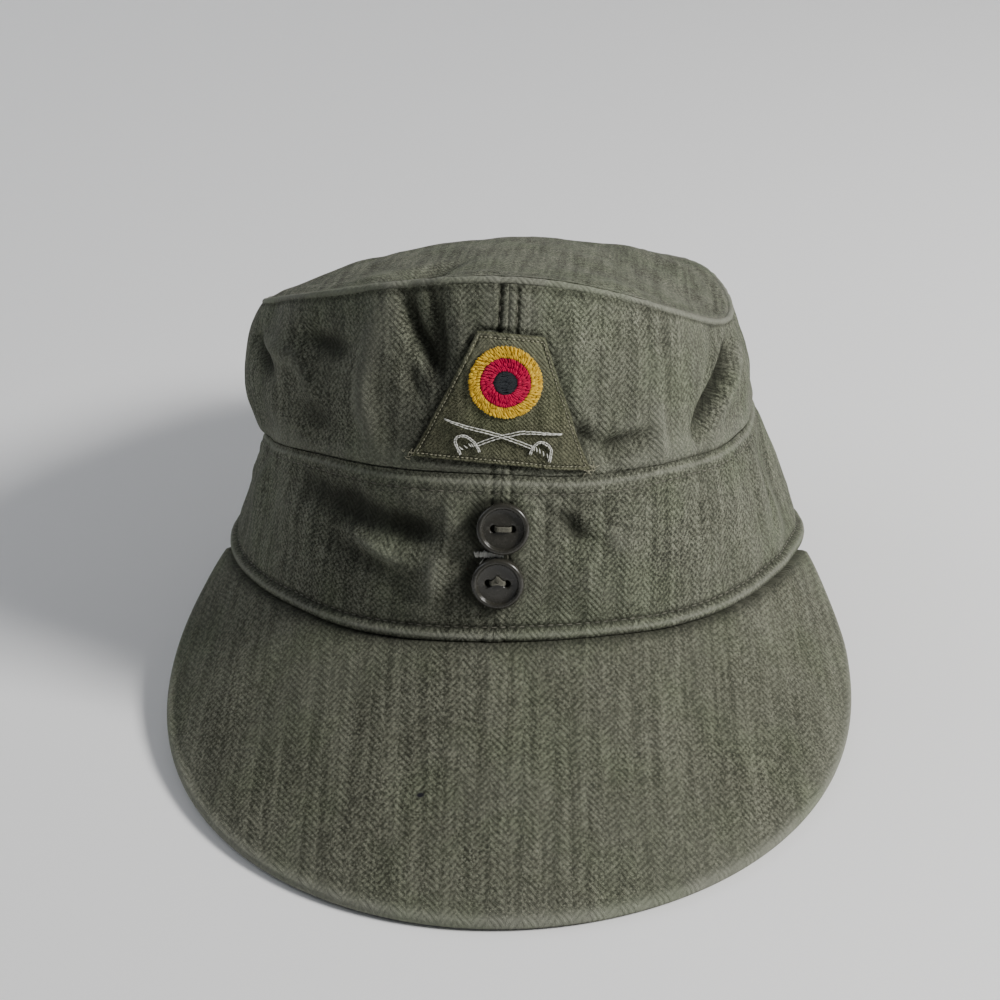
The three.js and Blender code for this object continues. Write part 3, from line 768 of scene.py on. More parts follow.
class Graph:
    """Adds and links the nodes of one shader tree."""

    def __init__(self, tree: bpy.types.NodeTree) -> None:
        """Keeps the tree that nodes go into."""
        self.tree = tree

    def link(self, value: object, socket: Socket) -> None:
        """Feeds a socket with another socket, a number or a colour."""
        if isinstance(value, Socket):
            self.tree.links.new(value, socket)
        elif value is not None:
            socket.default_value = value

    def add(self, kind: str, settings: dict[str, object] | None = None,
            inputs: dict[str | int, object] | None = None) -> bpy.types.Node:
        """One new node.

        Args:
            kind: The node's type.
            settings: Properties of the node.
            inputs: Sockets, numbers or colours by the name or number of the input.

        Returns:
            The node.
        """
        node = self.tree.nodes.new(kind)
        for name, value in (settings or {}).items():
            setattr(node, name, value)
        for name, value in (inputs or {}).items():
            self.link(value, node.inputs[name])
        return node

    def math(self, operation: str, a: object, b: object = None, c: object = None) -> Socket:
        """The result of one sum."""
        return self.add("ShaderNodeMath", {"operation": operation}, {0: a, 1: b, 2: c}).outputs[0]

    def plus(self, a: object, b: object) -> Socket:
        """The sum of two values."""
        return self.math("ADD", a, b)

    def times(self, a: object, b: object) -> Socket:
        """The product of two values."""
        return self.math("MULTIPLY", a, b)

    def clamped(self, value: object) -> Socket:
        """A value held between 0 and 1."""
        return self.math("MINIMUM", self.math("MAXIMUM", value, 0.0), 1.0)

    def vector(self, operation: str, a: object, b: object = None) -> Socket:
        """The result of one sum of vectors."""
        return self.add("ShaderNodeVectorMath", {"operation": operation}, {0: a, 1: b}).outputs[0]

    def mix(self, factor: object, a: object, b: object, blend: str = "MIX") -> Socket:
        """A mix of two colours."""
        node = self.add("ShaderNodeMix", {"data_type": "RGBA", "blend_type": blend})
        self.link(factor, node.inputs[0])
        self.link(a, node.inputs[6])
        self.link(b, node.inputs[7])
        return node.outputs[2]

    def noise(self, vector: object, scale: object, detail: float = 3.0, rough: float = 0.55) -> Socket:
        """The value of a noise texture."""
        values = {"Vector": vector, "Scale": scale, "Detail": detail, "Roughness": rough}
        return self.add("ShaderNodeTexNoise", {}, values).outputs[0]

    def ramp(self, value: object, low: float, high: float) -> Socket:
        """A value stretched smoothly so that low gives 0 and high gives 1."""
        node = self.add("ShaderNodeMapRange", {"interpolation_type": "SMOOTHSTEP"},
                        {"Value": value, "From Min": low, "From Max": high})
        return node.outputs[0]


def new_group(name: str, inputs: Sequence[tuple[str, str]], outputs: Sequence[tuple[str, str]]) -> tuple[
        bpy.types.NodeTree, Graph, bpy.types.Node, bpy.types.Node]:
    """An empty shader node group with named sockets.

    Args:
        name: The group's name.
        inputs: Name and socket type of each input.
        outputs: Name and socket type of each output.

    Returns:
        The group, its graph, its input node and its output node.
    """
    tree = bpy.data.node_groups.new(name, "ShaderNodeTree")
    for label, kind in inputs:
        tree.interface.new_socket(name=label, in_out="INPUT", socket_type=kind)
    for label, kind in outputs:
        tree.interface.new_socket(name=label, in_out="OUTPUT", socket_type=kind)
    graph = Graph(tree)
    return tree, graph, graph.add("NodeGroupInput"), graph.add("NodeGroupOutput")


VALUE, VECTOR = "NodeSocketFloat", "NodeSocketVector"


class SharedEffects:
    """The shader node groups that several materials use, each built once."""

    def __init__(self) -> None:
        """Builds every group."""
        self.herringbone = self.build_herringbone()
        self.ageing = self.build_ageing()
        self.twist = self.build_twist()

    @staticmethod
    def build_herringbone() -> bpy.types.NodeTree:
        """Herringbone twill: ribs that lean one way and then the other in upright columns."""
        tree, g, source, sink = new_group(
            "herringbone weave",
            [("Place", VECTOR), ("Column", VALUE), ("Rib", VALUE), ("Float", VALUE), ("Fuzz", VALUE)],
            [("Height", VALUE), ("Rib Mask", VALUE), ("Grain", VALUE)])
        place = source.outputs["Place"]
        split = g.add("ShaderNodeSeparateXYZ", {}, {0: place})
        sway = g.times(g.math("SUBTRACT", g.noise(place, 90.0, 2.0), 0.5), 0.0012)
        across = g.plus(split.outputs[0], sway)
        along = g.plus(split.outputs[1], sway)
        column = g.math("DIVIDE", across, source.outputs["Column"])
        slant = g.times(g.math("PINGPONG", column, 1.0), source.outputs["Column"])
        stripe = g.math("FLOOR", column)
        parity = g.math("PINGPONG", stripe, 1.0)
        rise = g.plus(g.times(along, 0.68), g.times(slant, 0.73))
        phase = g.plus(g.math("DIVIDE", rise, source.outputs["Rib"]), g.times(parity, 0.35))
        wave = g.math("MULTIPLY_ADD", g.math("SINE", g.times(phase, math.tau)), 0.5, 0.5)
        rib = g.ramp(wave, 0.04, 0.8)
        number = g.math("FLOOR", g.math("MULTIPLY_ADD", phase, 2.0, 0.5))
        start = g.add("ShaderNodeTexWhiteNoise", {"noise_dimensions": "2D"}, {
            0: g.add("ShaderNodeCombineXYZ", {}, {0: number, 1: stripe}).outputs[0]}).outputs[0]
        run = g.math("SUBTRACT", g.times(along, 0.73), g.times(slant, 0.68))
        float_number = g.math("FLOOR", g.plus(g.math("DIVIDE", run, source.outputs["Float"]), start))
        cell = g.add("ShaderNodeCombineXYZ", {}, {0: number, 1: float_number, 2: stripe}).outputs[0]
        yarn = g.add("ShaderNodeTexWhiteNoise", {"noise_dimensions": "3D"}, {0: cell}).outputs[0]
        fuzz = g.ramp(g.noise(place, g.math("DIVIDE", 0.8, source.outputs["Fuzz"]), 3.0, 0.7), 0.34, 0.66)
        grain = g.plus(g.times(yarn, 0.5), g.times(fuzz, 0.5))
        height = g.plus(g.times(rib, 0.5), g.times(grain, 0.5))
        g.link(height, sink.inputs["Height"])
        g.link(rib, sink.inputs["Rib Mask"])
        g.link(grain, sink.inputs["Grain"])
        return tree

    @staticmethod
    def build_ageing() -> bpy.types.NodeTree:
        """Fading, slub streaks and grime of cloth that has been worn and washed."""
        tree, g, source, sink = new_group(
            "cloth ageing", [("Place", VECTOR), ("Solid Place", VECTOR), ("Wear", VALUE)],
            [("Fade", VALUE), ("Streak", VALUE), ("Grime", VALUE)])
        stretched = g.vector("MULTIPLY", source.outputs["Place"], (1.0, 0.045, 1.0))
        streak = g.noise(stretched, 420.0, 3.0, 0.6)
        broad = g.noise(source.outputs["Solid Place"], 24.0, 4.0, 0.6)
        patchy = g.noise(source.outputs["Solid Place"], 75.0, 4.0, 0.65)
        rubbed = g.times(source.outputs["Wear"], g.math("MULTIPLY_ADD", patchy, 0.9, 0.45))
        fade = g.plus(g.times(g.ramp(broad, 0.36, 0.7), 0.22), rubbed)
        g.link(g.clamped(fade), sink.inputs["Fade"])
        g.link(g.ramp(streak, 0.3, 0.72), sink.inputs["Streak"])
        g.link(g.ramp(g.times(patchy, broad), 0.12, 0.36), sink.inputs["Grime"])
        return tree

    @staticmethod
    def build_twist() -> bpy.types.NodeTree:
        """The slanting strands of a twisted thread."""
        tree, g, source, sink = new_group(
            "thread twist", [("Place", VECTOR), ("Strand", VALUE)], [("Height", VALUE), ("Fuzz", VALUE)])
        split = g.add("ShaderNodeSeparateXYZ", {}, {0: source.outputs["Place"]})
        slant = g.plus(split.outputs[0], split.outputs[1])
        phase = g.times(g.math("DIVIDE", slant, source.outputs["Strand"]), math.tau)
        g.link(g.math("MULTIPLY_ADD", g.math("SINE", phase), 0.5, 0.5), sink.inputs["Height"])
        g.link(g.noise(source.outputs["Place"], 4000.0, 2.0), sink.inputs["Fuzz"])
        return tree


Colour = tuple[float, float, float, float]


@dataclass(frozen=True)
class ClothFinish:
    """A herringbone cloth: its yarn colours and the size of its weave in metres."""

    name: str
    dark: Colour
    light: Colour
    faded: Colour
    column: float
    rib: float
    fuzz: float
    depth: float
    contrast: float = 0.2
    grain: float = 1.15
    even_share: float = 0.48
    fading: float = 0.7
    sheen: float = 0.07
    speck: tuple[float, float] | None = None

    def build(self, effects: SharedEffects) -> bpy.types.Material:
        """Makes the material.

        Args:
            effects: The shared node groups.

        Returns:
            The finished material.
        """
        material, g, shader = new_material(self.name)
        place = g.add("ShaderNodeUVMap", {"uv_map": CLOTH_UV}).outputs[0]
        solid = g.add("ShaderNodeTexCoord").outputs["Object"]
        wear = g.add("ShaderNodeAttribute", {"attribute_name": "wear"}).outputs["Fac"]
        weave = g.add("ShaderNodeGroup", {"node_tree": effects.herringbone}, {
            "Place": place, "Column": self.column, "Rib": self.rib,
            "Float": self.rib * 0.36, "Fuzz": self.fuzz})
        age = g.add("ShaderNodeGroup", {"node_tree": effects.ageing}, {
            "Place": place, "Solid Place": solid, "Wear": g.math("MAXIMUM", wear, 0.0)})
        even = self.even_share - (self.grain + self.contrast) / 2
        share = g.plus(g.times(weave.outputs["Rib Mask"], self.contrast),
                       g.math("MULTIPLY_ADD", weave.outputs["Grain"], self.grain, even))
        share = g.plus(share, g.times(g.math("SUBTRACT", age.outputs["Streak"], 0.5), 0.34))
        share = g.math("POWER", g.clamped(share), 1.4)
        colour = g.mix(share, self.dark, self.light)
        colour = g.mix(g.times(age.outputs["Fade"], self.fading), colour, self.faded)
        colour = g.mix(g.times(age.outputs["Grime"], 0.22), colour, (0.045, 0.05, 0.027, 1.0))
        tint = g.times(g.ramp(g.noise(solid, 42.0, 3.0), 0.42, 0.66), 0.32)
        colour = g.mix(tint, colour, (0.86, 1.0, 0.78, 1.0), "MULTIPLY")
        # Painted shade: where the wear attribute falls below 0 (fold hollows, stitched grooves, beneath the
        # rolled seam, beside the buttons) the colour is mixed towards a near-black shade colour.
        painted_shade = g.math("MINIMUM", g.times(g.math("MINIMUM", wear, 0.0), -0.8), 0.88)
        colour = g.mix(painted_shade, colour, (0.018, 0.019, 0.013, 1.0))
        if self.speck:
            spot = g.vector("SUBTRACT", place, (self.speck[0], self.speck[1], 0.0))
            size = g.vector("MULTIPLY", spot, (1.0, 1.4, 0.0))
            away = g.add("ShaderNodeVectorMath", {"operation": "LENGTH"}, {0: size}).outputs["Value"]
            colour = g.mix(g.ramp(away, 0.0014, 0.0007), colour, (0.012, 0.012, 0.016, 1.0))
        g.link(colour, shader.inputs["Base Color"])
        g.link(g.math("MULTIPLY_ADD", weave.outputs["Grain"], 0.12, 0.84), shader.inputs["Roughness"])
        relief = {"Strength": 1.0, "Distance": self.depth, "Height": weave.outputs["Height"]}
        bump = g.add("ShaderNodeBump", {}, relief)
        g.link(bump.outputs[0], shader.inputs["Normal"])
        shader.inputs["Sheen Weight"].default_value = self.sheen
        shader.inputs["Sheen Roughness"].default_value = 0.5
        shader.inputs["Sheen Tint"].default_value = self.faded
        shader.inputs["Specular IOR Level"].default_value = 0.18
        return material


@dataclass(frozen=True)
class ThreadFinish:
    """Twisted thread of one colour."""

    name: str
    colour: Colour
    deep: Colour
    strand: float = 0.00035
    roughness: float = 0.55
    sheen: float = 0.0

    def build(self, effects: SharedEffects) -> bpy.types.Material:
        """Makes the material.

        Args:
            effects: The shared node groups.

        Returns:
            The finished material.
        """
        material, g, shader = new_material(self.name)
        place = g.add("ShaderNodeUVMap", {"uv_map": CLOTH_UV}).outputs[0]
        solid = g.add("ShaderNodeTexCoord").outputs["Object"]
        tone = g.add("ShaderNodeAttribute", {"attribute_name": "tone"}).outputs["Fac"]
        values = {"Place": place, "Strand": self.strand}
        twist = g.add("ShaderNodeGroup", {"node_tree": effects.twist}, values)
        patch = g.noise(solid, 900.0, 2.0)
        share = g.plus(g.times(twist.outputs["Height"], 0.35),
                       g.plus(g.times(patch, 0.4), g.times(tone, 0.6)))
        colour = g.mix(g.math("MINIMUM", share, 1.0), self.deep, self.colour)
        g.link(colour, shader.inputs["Base Color"])
        rough = g.math("MULTIPLY_ADD", twist.outputs["Fuzz"], 0.2, self.roughness - 0.1)
        g.link(rough, shader.inputs["Roughness"])
        relief = {"Strength": 1.0, "Distance": 0.00008, "Height": twist.outputs["Height"]}
        bump = g.add("ShaderNodeBump", {}, relief)
        g.link(bump.outputs[0], shader.inputs["Normal"])
        shader.inputs["Sheen Weight"].default_value = self.sheen
        shader.inputs["Sheen Roughness"].default_value = 0.4
        shader.inputs["Specular IOR Level"].default_value = 0.2
        return material


@dataclass(frozen=True)
class ResinFinish:
    """Moulded button resin with faint mottling and rubbed scratches."""

    name: str = "button_resin"
    colour: Colour = (0.021, 0.02, 0.016, 1.0)
    paler: Colour = (0.046, 0.044, 0.035, 1.0)

    def build(self, effects: SharedEffects) -> bpy.types.Material:
        """Makes the material.

        Args:
            effects: The shared node groups.

        Returns:
            The finished material.
        """
        material, g, shader = new_material(self.name)
        solid = g.add("ShaderNodeTexCoord").outputs["Object"]
        age = g.add("ShaderNodeGroup", {"node_tree": effects.ageing}, {
            "Place": solid, "Solid Place": g.vector("MULTIPLY", solid, (6.0, 6.0, 6.0)), "Wear": 0.0})
        mottle = g.noise(solid, 700.0, 4.0)
        colour = g.mix(g.times(g.plus(mottle, age.outputs["Fade"]), 0.5), self.colour, self.paler)
        g.link(colour, shader.inputs["Base Color"])
        g.link(g.math("MULTIPLY_ADD", mottle, 0.2, 0.16), shader.inputs["Roughness"])
        scratch = g.noise(g.vector("MULTIPLY", solid, (1.0, 1.0, 0.08)), 5200.0, 3.0)
        bump = g.add("ShaderNodeBump", {}, {"Strength": 0.35, "Distance": 0.00003, "Height": scratch})
        g.link(bump.outputs[0], shader.inputs["Normal"])
        shader.inputs["Specular IOR Level"].default_value = 0.5
        return material


@dataclass(frozen=True)
class PaleGroundFinish:
    """The plain pale floor and backdrop."""

    name: str = "pale_ground"
    colour: Colour = (0.9, 0.9, 0.9, 1.0)

    def build(self, effects: SharedEffects) -> bpy.types.Material:
        """Makes the material.

        Args:
            effects: The shared node groups, of which it uses none.

        Returns:
            The finished material.
        """
        material, g, shader = new_material(self.name)
        solid = g.add("ShaderNodeTexCoord").outputs["Object"]
        soft = g.noise(solid, 3.0, 2.0)
        g.link(g.mix(g.times(soft, 0.12), self.colour, (0.84, 0.85, 0.88, 1.0)), shader.inputs["Base Color"])
        shader.inputs["Roughness"].default_value = 0.7
        return material


def new_material(name: str) -> tuple[bpy.types.Material, Graph, bpy.types.Node]:
    """An empty material with its graph and its Principled shader."""
    material = bpy.data.materials.new(name)
    material.use_nodes = True
    return material, Graph(material.node_tree), material.node_tree.nodes["Principled BSDF"]


class Finish(Enum):
    """Every finish of the cap."""

    FIELD = ClothFinish("field_cloth", dark=(0.014, 0.0145, 0.01, 1.0), light=(0.245, 0.253, 0.192, 1.0),
                        faded=(0.262, 0.268, 0.22, 1.0),
                        column=0.00435, rib=0.0013, fuzz=0.00023, depth=0.00034)
    PEAK = ClothFinish("peak_cloth", dark=(0.02, 0.0205, 0.014, 1.0), light=(0.222, 0.226, 0.17, 1.0),
                       faded=(0.262, 0.268, 0.22, 1.0),
                       column=0.00435, rib=0.0014, fuzz=0.00022, depth=0.0003,
                       speck=(-0.0192, -0.0442))
    PATCH = ClothFinish("patch_cloth", dark=(0.022, 0.024, 0.011, 1.0), light=(0.205, 0.204, 0.13, 1.0),
                        faded=(0.2, 0.2, 0.15, 1.0),
                        column=0.04, rib=0.0008, fuzz=0.00026, depth=0.0002, contrast=0.1)
    GOLD = ThreadFinish("gold_thread", (1.0, 0.66, 0.05, 1.0), (0.26, 0.1, 0.002, 1.0))
    RED = ThreadFinish("red_thread", (0.68, 0.003, 0.075, 1.0), (0.2, 0.001, 0.02, 1.0))
    BLACK = ThreadFinish("black_thread", (0.024, 0.029, 0.034, 1.0), (0.008, 0.01, 0.013, 1.0))
    EDGING = ThreadFinish("edging_thread", (0.36, 0.35, 0.25, 1.0), (0.1, 0.1, 0.07, 1.0))
    PALE = ThreadFinish("pale_thread", (0.82, 0.82, 0.76, 1.0), (0.3, 0.3, 0.26, 1.0))
    SEWING = ThreadFinish("sewing_thread", (0.18, 0.175, 0.14, 1.0), (0.05, 0.05, 0.036, 1.0))
    RESIN = ResinFinish()
    GROUND = PaleGroundFinish()


class Workshop:
    """Turns sheets into named Blender pieces that ride on the frame."""

    def __init__(self, place: Placement) -> None:
        """Builds every finish once.

        Args:
            place: The way from the cap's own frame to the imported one.
        """
        self.place = place
        effects = SharedEffects()
        self.materials = {finish: finish.value.build(effects) for finish in Finish}

    def add(self, name: str, sheet: Sheet, finish: Finish, slot: str, nodes: Iterable[str] = (),
            sharp: float = 50.0) -> bpy.types.Object:
        """One finished piece.

        Args:
            name: The piece's name.
            sheet: Its mesh.
            finish: Its finish.
            slot: The record's material slot; not used.
            nodes: Nodes of the frame that it stands for.
            sharp: Edges that bend by more than this many degrees stay sharp.

        Returns:
            The Blender object.
        """
        mesh = bpy.data.meshes.new(name)
        mesh.from_pydata(self.place.points(sheet.points).tolist(), [], sheet.faces)
        layer = mesh.uv_layers.new(name=CLOTH_UV)
        layer.data.foreach_set("uv", (sheet.corner_uv.reshape(-1) * MM).astype(np.float32))
        # Above 0 these values are rubbed wear; below 0 they are painted shade.
        for label, values in (("wear", sheet.wear), ("tone", sheet.tone)):
            attribute = mesh.attributes.new(label, "FLOAT", "POINT")
            attribute.data.foreach_set("value", values.astype(np.float32))
        return self.dress(name, mesh, finish, nodes, sharp)

    def dress(self, name: str, mesh: bpy.types.Mesh, finish: Finish, nodes: Iterable[str],
              sharp: float) -> bpy.types.Object:
        """Puts a mesh in the scene with its finish and ties it to the frame."""
        mesh.shade_smooth()
        mesh.set_sharp_from_angle(angle=math.radians(sharp))
        mesh.materials.append(self.materials[finish])
        piece = bpy.data.objects.new(name, mesh)
        bpy.context.scene.collection.objects.link(piece)
        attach(piece, "root")
        if nodes:
            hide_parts(*nodes)
        log.info("%s: %d faces, finish %s", name, len(mesh.polygons), finish.name)
        return piece


@dataclass
class Crown:
    """The side of the crown, its top panel and the rolled seam between them."""

    wall: WallForm
    cloth: float = 1.6
    welt_radius: float = 1.05
    welt_sink: float = 0.55
    top_centre_up: float = 95.5
    step: float = 1.45
    top_inset: float = 1.15
    under_inset: float = 2.65
    top_rings: int = 64

    def face(self, degrees: Array, level: Array) -> Array:
        """How far the crown's outer face lies off the folded wall."""
        shown = step_down(-level, -49.0, 0.7)
        near_top = self.wall.top_level - level
        fade = 1 - 0.75 * bump_of(near_top, 2.2)
        relief = self.wall.fine(degrees, level) * fade + 0.34 * self.wall.gathers(degrees, near_top, 7.0)
        seam = 0.85 * self.wall.seam_relief(degrees, level)
        hidden = self.wall.crease_push(degrees, level) * (1 - shown)
        away = self.from_patch(degrees, level)
        pucker = 0.55 + 0.45 * np.sin(1.9 * level + 0.6 * degrees)
        sewn = -0.75 * bump_of(away - 0.4, 0.7) + 0.3 * pucker * bump_of(away - 2.2, 1.4)
        return hidden + self.wall.lean(level) + shown * (relief + seam + sewn)

    def from_patch(self, degrees: Array, level: Array) -> Array:
        """Distance from the badge patch's edge; large everywhere but on the front."""
        away = patch_distance(self.wall.bare(degrees, level)[..., 0], level)
        return np.where(np.abs(turn_between(degrees, 0)) < FRONT_REACH, away, 99.0)

    def half_grid(self, side: Side, base: Array) -> tuple[Array, Array]:
        """Angles and levels of one half's grid; the top row ends just under the rolled seam."""
        top = self.wall.half_angles(side, np.array([self.wall.top_level]), self.step)
        edge = self.wall.point(top, np.full_like(top, self.wall.top_level), 0)
        below = self.wall.point(top, np.full_like(top, self.wall.top_level - 1), 0)
        room = np.linalg.norm(edge - below, axis=-1)
        end = self.wall.top_level - (self.welt_radius - 0.15) / room
        level = np.where(base <= 93, base, 93 + (base - 93) / 7 * (end - 93))
        return self.wall.half_angles(side, level, self.step), level

    def half(self, side: Side) -> Sheet:
        """One half of the crown's side."""
        hidden, seen = [0, 8, 16, 24, 32, 38, 42], np.arange(44.5, 93, 0.95)
        base = np.concatenate([hidden, seen, np.linspace(93, 100, 14)])
        degrees, level = self.half_grid(side, base[None, :])
        relief = self.face(degrees, level)
        outer = self.wall.point(degrees, level, relief)
        inner = self.wall.point(degrees, level, -self.cloth + self.wall.crease_push(degrees, level))
        uv = cloth_places(self.wall.point(degrees, level, 0)) * [side.value, 1]
        near_top = self.wall.top_level - level
        # Painted shade: the hollows of the folds, the stitched grooves beside the seams, a line just under
        # the rolled seam and a band round the patch's edge are made darker.
        wear = 0.3 * bump_of(near_top, 3.0) + fold_wear(relief + 0.45 * self.wall.fold_push(degrees, level))
        strip = bump_of(self.wall.seam_distance(degrees, level) - STRIP_HALF, 0.7)
        wear = wear - 0.5 * strip * (level > 48) - 0.75 * bump_of(near_top - 1.7, 0.9)
        wear = wear - 0.7 * bump_of(self.from_patch(degrees, level) - 0.3, 0.9)
        return faced(shell(outer, inner, uv, wear))

    def top_point(self, degrees: Array, reach: Array, drop: float, inset: float) -> Array:
        """A point of the top panel, which runs down to the back and falls away to both sides."""
        top = np.full_like(degrees, self.wall.top_level)
        edge = self.wall.point(degrees, top, -inset)
        ends = self.wall.point(np.array([0.0, 180.0]), np.full(2, self.wall.top_level), 0)[:, 2]
        slope = np.cos(np.radians(degrees)) * (ends[0] - ends[1]) / 2
        rest = edge[..., 2] - self.top_centre_up - slope
        up = self.top_centre_up + slope * reach + rest * reach ** 2 - drop
        return np.stack([edge[..., 0] * reach, edge[..., 1] * reach, up], axis=-1)

    def top(self) -> Sheet:
        """The domed top panel."""
        count = 240
        degrees = np.linspace(-180, 180, count, endpoint=False)[:, None]
        fine = 1 - np.linspace(0, 1, 18) ** 1.3 * 0.13
        reach = np.concatenate([fine, np.linspace(fine[-1], 0.012, self.top_rings - 18 + 1)[1:]])[None, :]
        degrees, reach = np.broadcast_arrays(degrees, reach)
        outer = self.top_point(degrees, reach, -self.cloth / 2, self.top_inset)
        inner = self.top_point(degrees, reach, self.cloth / 2, self.under_inset)
        distance = (1 - reach) * 80
        calm = 1 - bump_of(distance, 3.0)
        relief = self.wall.drape(outer + 40) * 0.9 * calm + self.top_marks(outer, degrees, distance)
        gather = 0.42 * self.wall.gathers(degrees, distance - 3, 6.0) * calm
        outer = outer + np.array([0, 0, 1]) * (relief + gather + 0.2 * np.exp(-distance / 1.3))[..., None]
        inner = inner + np.array([0, 0, 1]) * (relief * 0.8 * calm)[..., None]
        plan = outer[..., :2]
        uv = np.concatenate([plan, plan[:1]])
        # The edge is rubbed paler, a band a little in from the edge is darker, and the hollows of the folds
        # get painted shade.
        wear = 0.4 * bump_of(distance, 1.6) + 0.25 * bump_of(distance - 8.2, 1.1)
        wear = wear - 0.2 * bump_of(distance - 3.6, 1.5)
        wear = wear + 0.8 * fold_wear(relief)
        return faced(shell(outer, inner, uv, wear, loop=True, hub=True))

    def top_marks(self, points: Array, degrees: Array, distance: Array) -> Array:
        """The seam allowance that shows through near the edge, and the folds of the top panel."""
        right_front = bump_of(turn_between(degrees, 32), 34) + 0.35
        allowance = 0.34 * right_front * step_down(distance, 8.2, 0.5)
        calm = 1 - bump_of(distance, 2.5)
        folds = sum(crease_depth(points[..., :2], crease.path, crease) for crease in TOP_CREASES)
        return allowance + calm * folds

    def welt(self) -> Sheet:
        """The rolled seam round the crown."""
        count, sides = 420, 18
        degrees = np.linspace(-180, 180, count, endpoint=False)
        level = np.full(count, self.wall.top_level)
        _, _, up, out = self.wall.frame(degrees, level)
        centre = self.wall.point(degrees, level, -self.welt_sink)
        pucker = 1.04 + 0.13 * self.wall.gathers(degrees, np.zeros(count), 1.0)
        size = (self.welt_radius * pucker)[:, None, None]
        ring = round_ways(turns(sides) + math.pi, up, out)
        rings = centre[:, None] + size * ring
        run = run_along(np.concatenate([centre, centre[:1]]))
        girth = np.linspace(0, math.tau * self.welt_radius, sides + 1)
        uv = np.stack(np.meshgrid(run, girth, indexing="ij"), axis=-1)
        wear = np.clip(0.9 + 0.6 * ring[..., 2] + 0.2 * np.sin(9 * np.radians(degrees))[:, None], 0, 1.2)
        return faced(ring_loop(rings, uv, wear))

    def build(self, shop: Workshop) -> None:
        """Makes every piece of the crown.

        Args:
            shop: Where pieces are finished.
        """
        for side in Side:
            node = f"crown_side_{side.word}"
            shop.add(f"sewn_{node}", self.half(side), Finish.FIELD, "field_cloth", [node])
        shop.add("sewn_crown_top", self.top(), Finish.FIELD, "field_cloth", ["crown_top"])
        shop.add("sewn_top_welt", self.welt(), Finish.FIELD, "field_cloth", ["top_welt"])
        lines = []
        for way in (-1, 1):
            level = np.linspace(89.5, 98.2, 60)
            degrees = self.wall.seam_angle(level) + way * STRIP_HALF / self.wall.arc_per_degree
            lines.append(stitch_line(self.wall, degrees, level, self.face(degrees, level) + 0.05))
        shop.add("crown_seam_stitches", Sheet.join(lines), Finish.SEWING, "sewing_thread")


def fold_wear(relief: Array) -> Array:
    """Wear and painted shade of folded cloth: ridges are rubbed pale and hollows are painted darker as
    shade.
    """
    return np.clip(relief - 0.3, 0, 1.6) * 0.3 + np.clip(relief + 0.7, -2.6, 0) * 0.4


def cloth_places(points: Array) -> Array:
    """Flat places of a grid of points: mm round from the first column, and mm up each column."""
    round_steps = np.linalg.norm(np.diff(points, axis=0), axis=-1)
    across = np.concatenate([np.zeros((1, points.shape[1])), np.cumsum(round_steps, axis=0)])
    up_steps = np.linalg.norm(np.diff(points, axis=1), axis=-1)
    along = np.concatenate([np.zeros((points.shape[0], 1)), np.cumsum(up_steps, axis=1)], axis=1)
    return np.stack([across, along], axis=-1)


def faced(sheet: Sheet) -> Sheet:
    """The same closed sheet with its faces looking outwards."""
    corners = np.array([face[:3] for face in sheet.faces])
    a, b, c = (sheet.points[corners[:, k]] for k in range(3))
    quads = [(face[0], face[2], face[3]) for face in sheet.faces if len(face) == 4]
    volume = np.einsum("ij,ij->", a, np.cross(b, c))
    if quads:
        q = np.array(quads)
        three = [sheet.points[q[:, k]] for k in range(3)]
        volume += np.einsum("ij,ij->", three[0], np.cross(three[1], three[2]))
    if volume >= 0:
        return sheet
    uv, start, turned = sheet.corner_uv.reshape(-1, 2), 0, []
    for face in sheet.faces:
        turned.append(uv[start:start + len(face)][::-1])
        start += len(face)
    faces = [face[::-1] for face in sheet.faces]
    return Sheet(sheet.points, faces, np.concatenate(turned), sheet.wear, sheet.tone)


def ring_loop(rings: Array, uv: Array, wear: Array) -> Sheet:
    """A closed loop of rings, such as a cord that runs all the way round."""
    count, sides = rings.shape[:2]
    i, j = np.meshgrid(np.arange(count), np.arange(sides), indexing="ij")
    near, far, beside = i * sides, (i + 1) % count * sides, (j + 1) % sides
    quads = np.stack([near + j, far + j, far + beside, near + beside], axis=-1).reshape(-1, 4)
    points, corners = rings.reshape(-1, 3), grid_uv(uv, False).reshape(-1, 2)
    return Sheet(points, quads.tolist(), corners, wear.reshape(-1), np.full(len(points), 0.5))


def stitch_line(wall: WallForm, degrees: Array, level: Array, offset: Array,
                style: StitchStyle = THREAD_STYLE, pitch: float = STITCH_PITCH) -> Sheet:
    """A run of sewing stitches along a line on the wall.

    Args:
        wall: The wall that the line lies on.
        degrees: Angles along the line.
        level: Levels along the line.
        offset: How far the cloth's face lies off the wall there.
        style: How the stitches lie.
        pitch: Length from one stitch to the next in mm.

    Returns:
        The stitches as one sheet.
    """
    points = wall.point(degrees, level, offset)
    outs = wall.frame(degrees, level)[3]
    run = run_along(points)
    count = max(int(run[-1] / pitch), 1)
    begin = np.arange(count) * run[-1] / count
    rng = np.random.default_rng(SEED + count)
    jitter = rng.normal(0, 0.05, size=(2, count, 3))
    starts = read_path(points, run, begin) + jitter[0]
    ends = read_path(points, run, begin + pitch * 0.8) + jitter[1]
    return stitches(starts, ends, unit(read_path(outs, run, begin)), style, rng.uniform(0.2, 0.8, count))


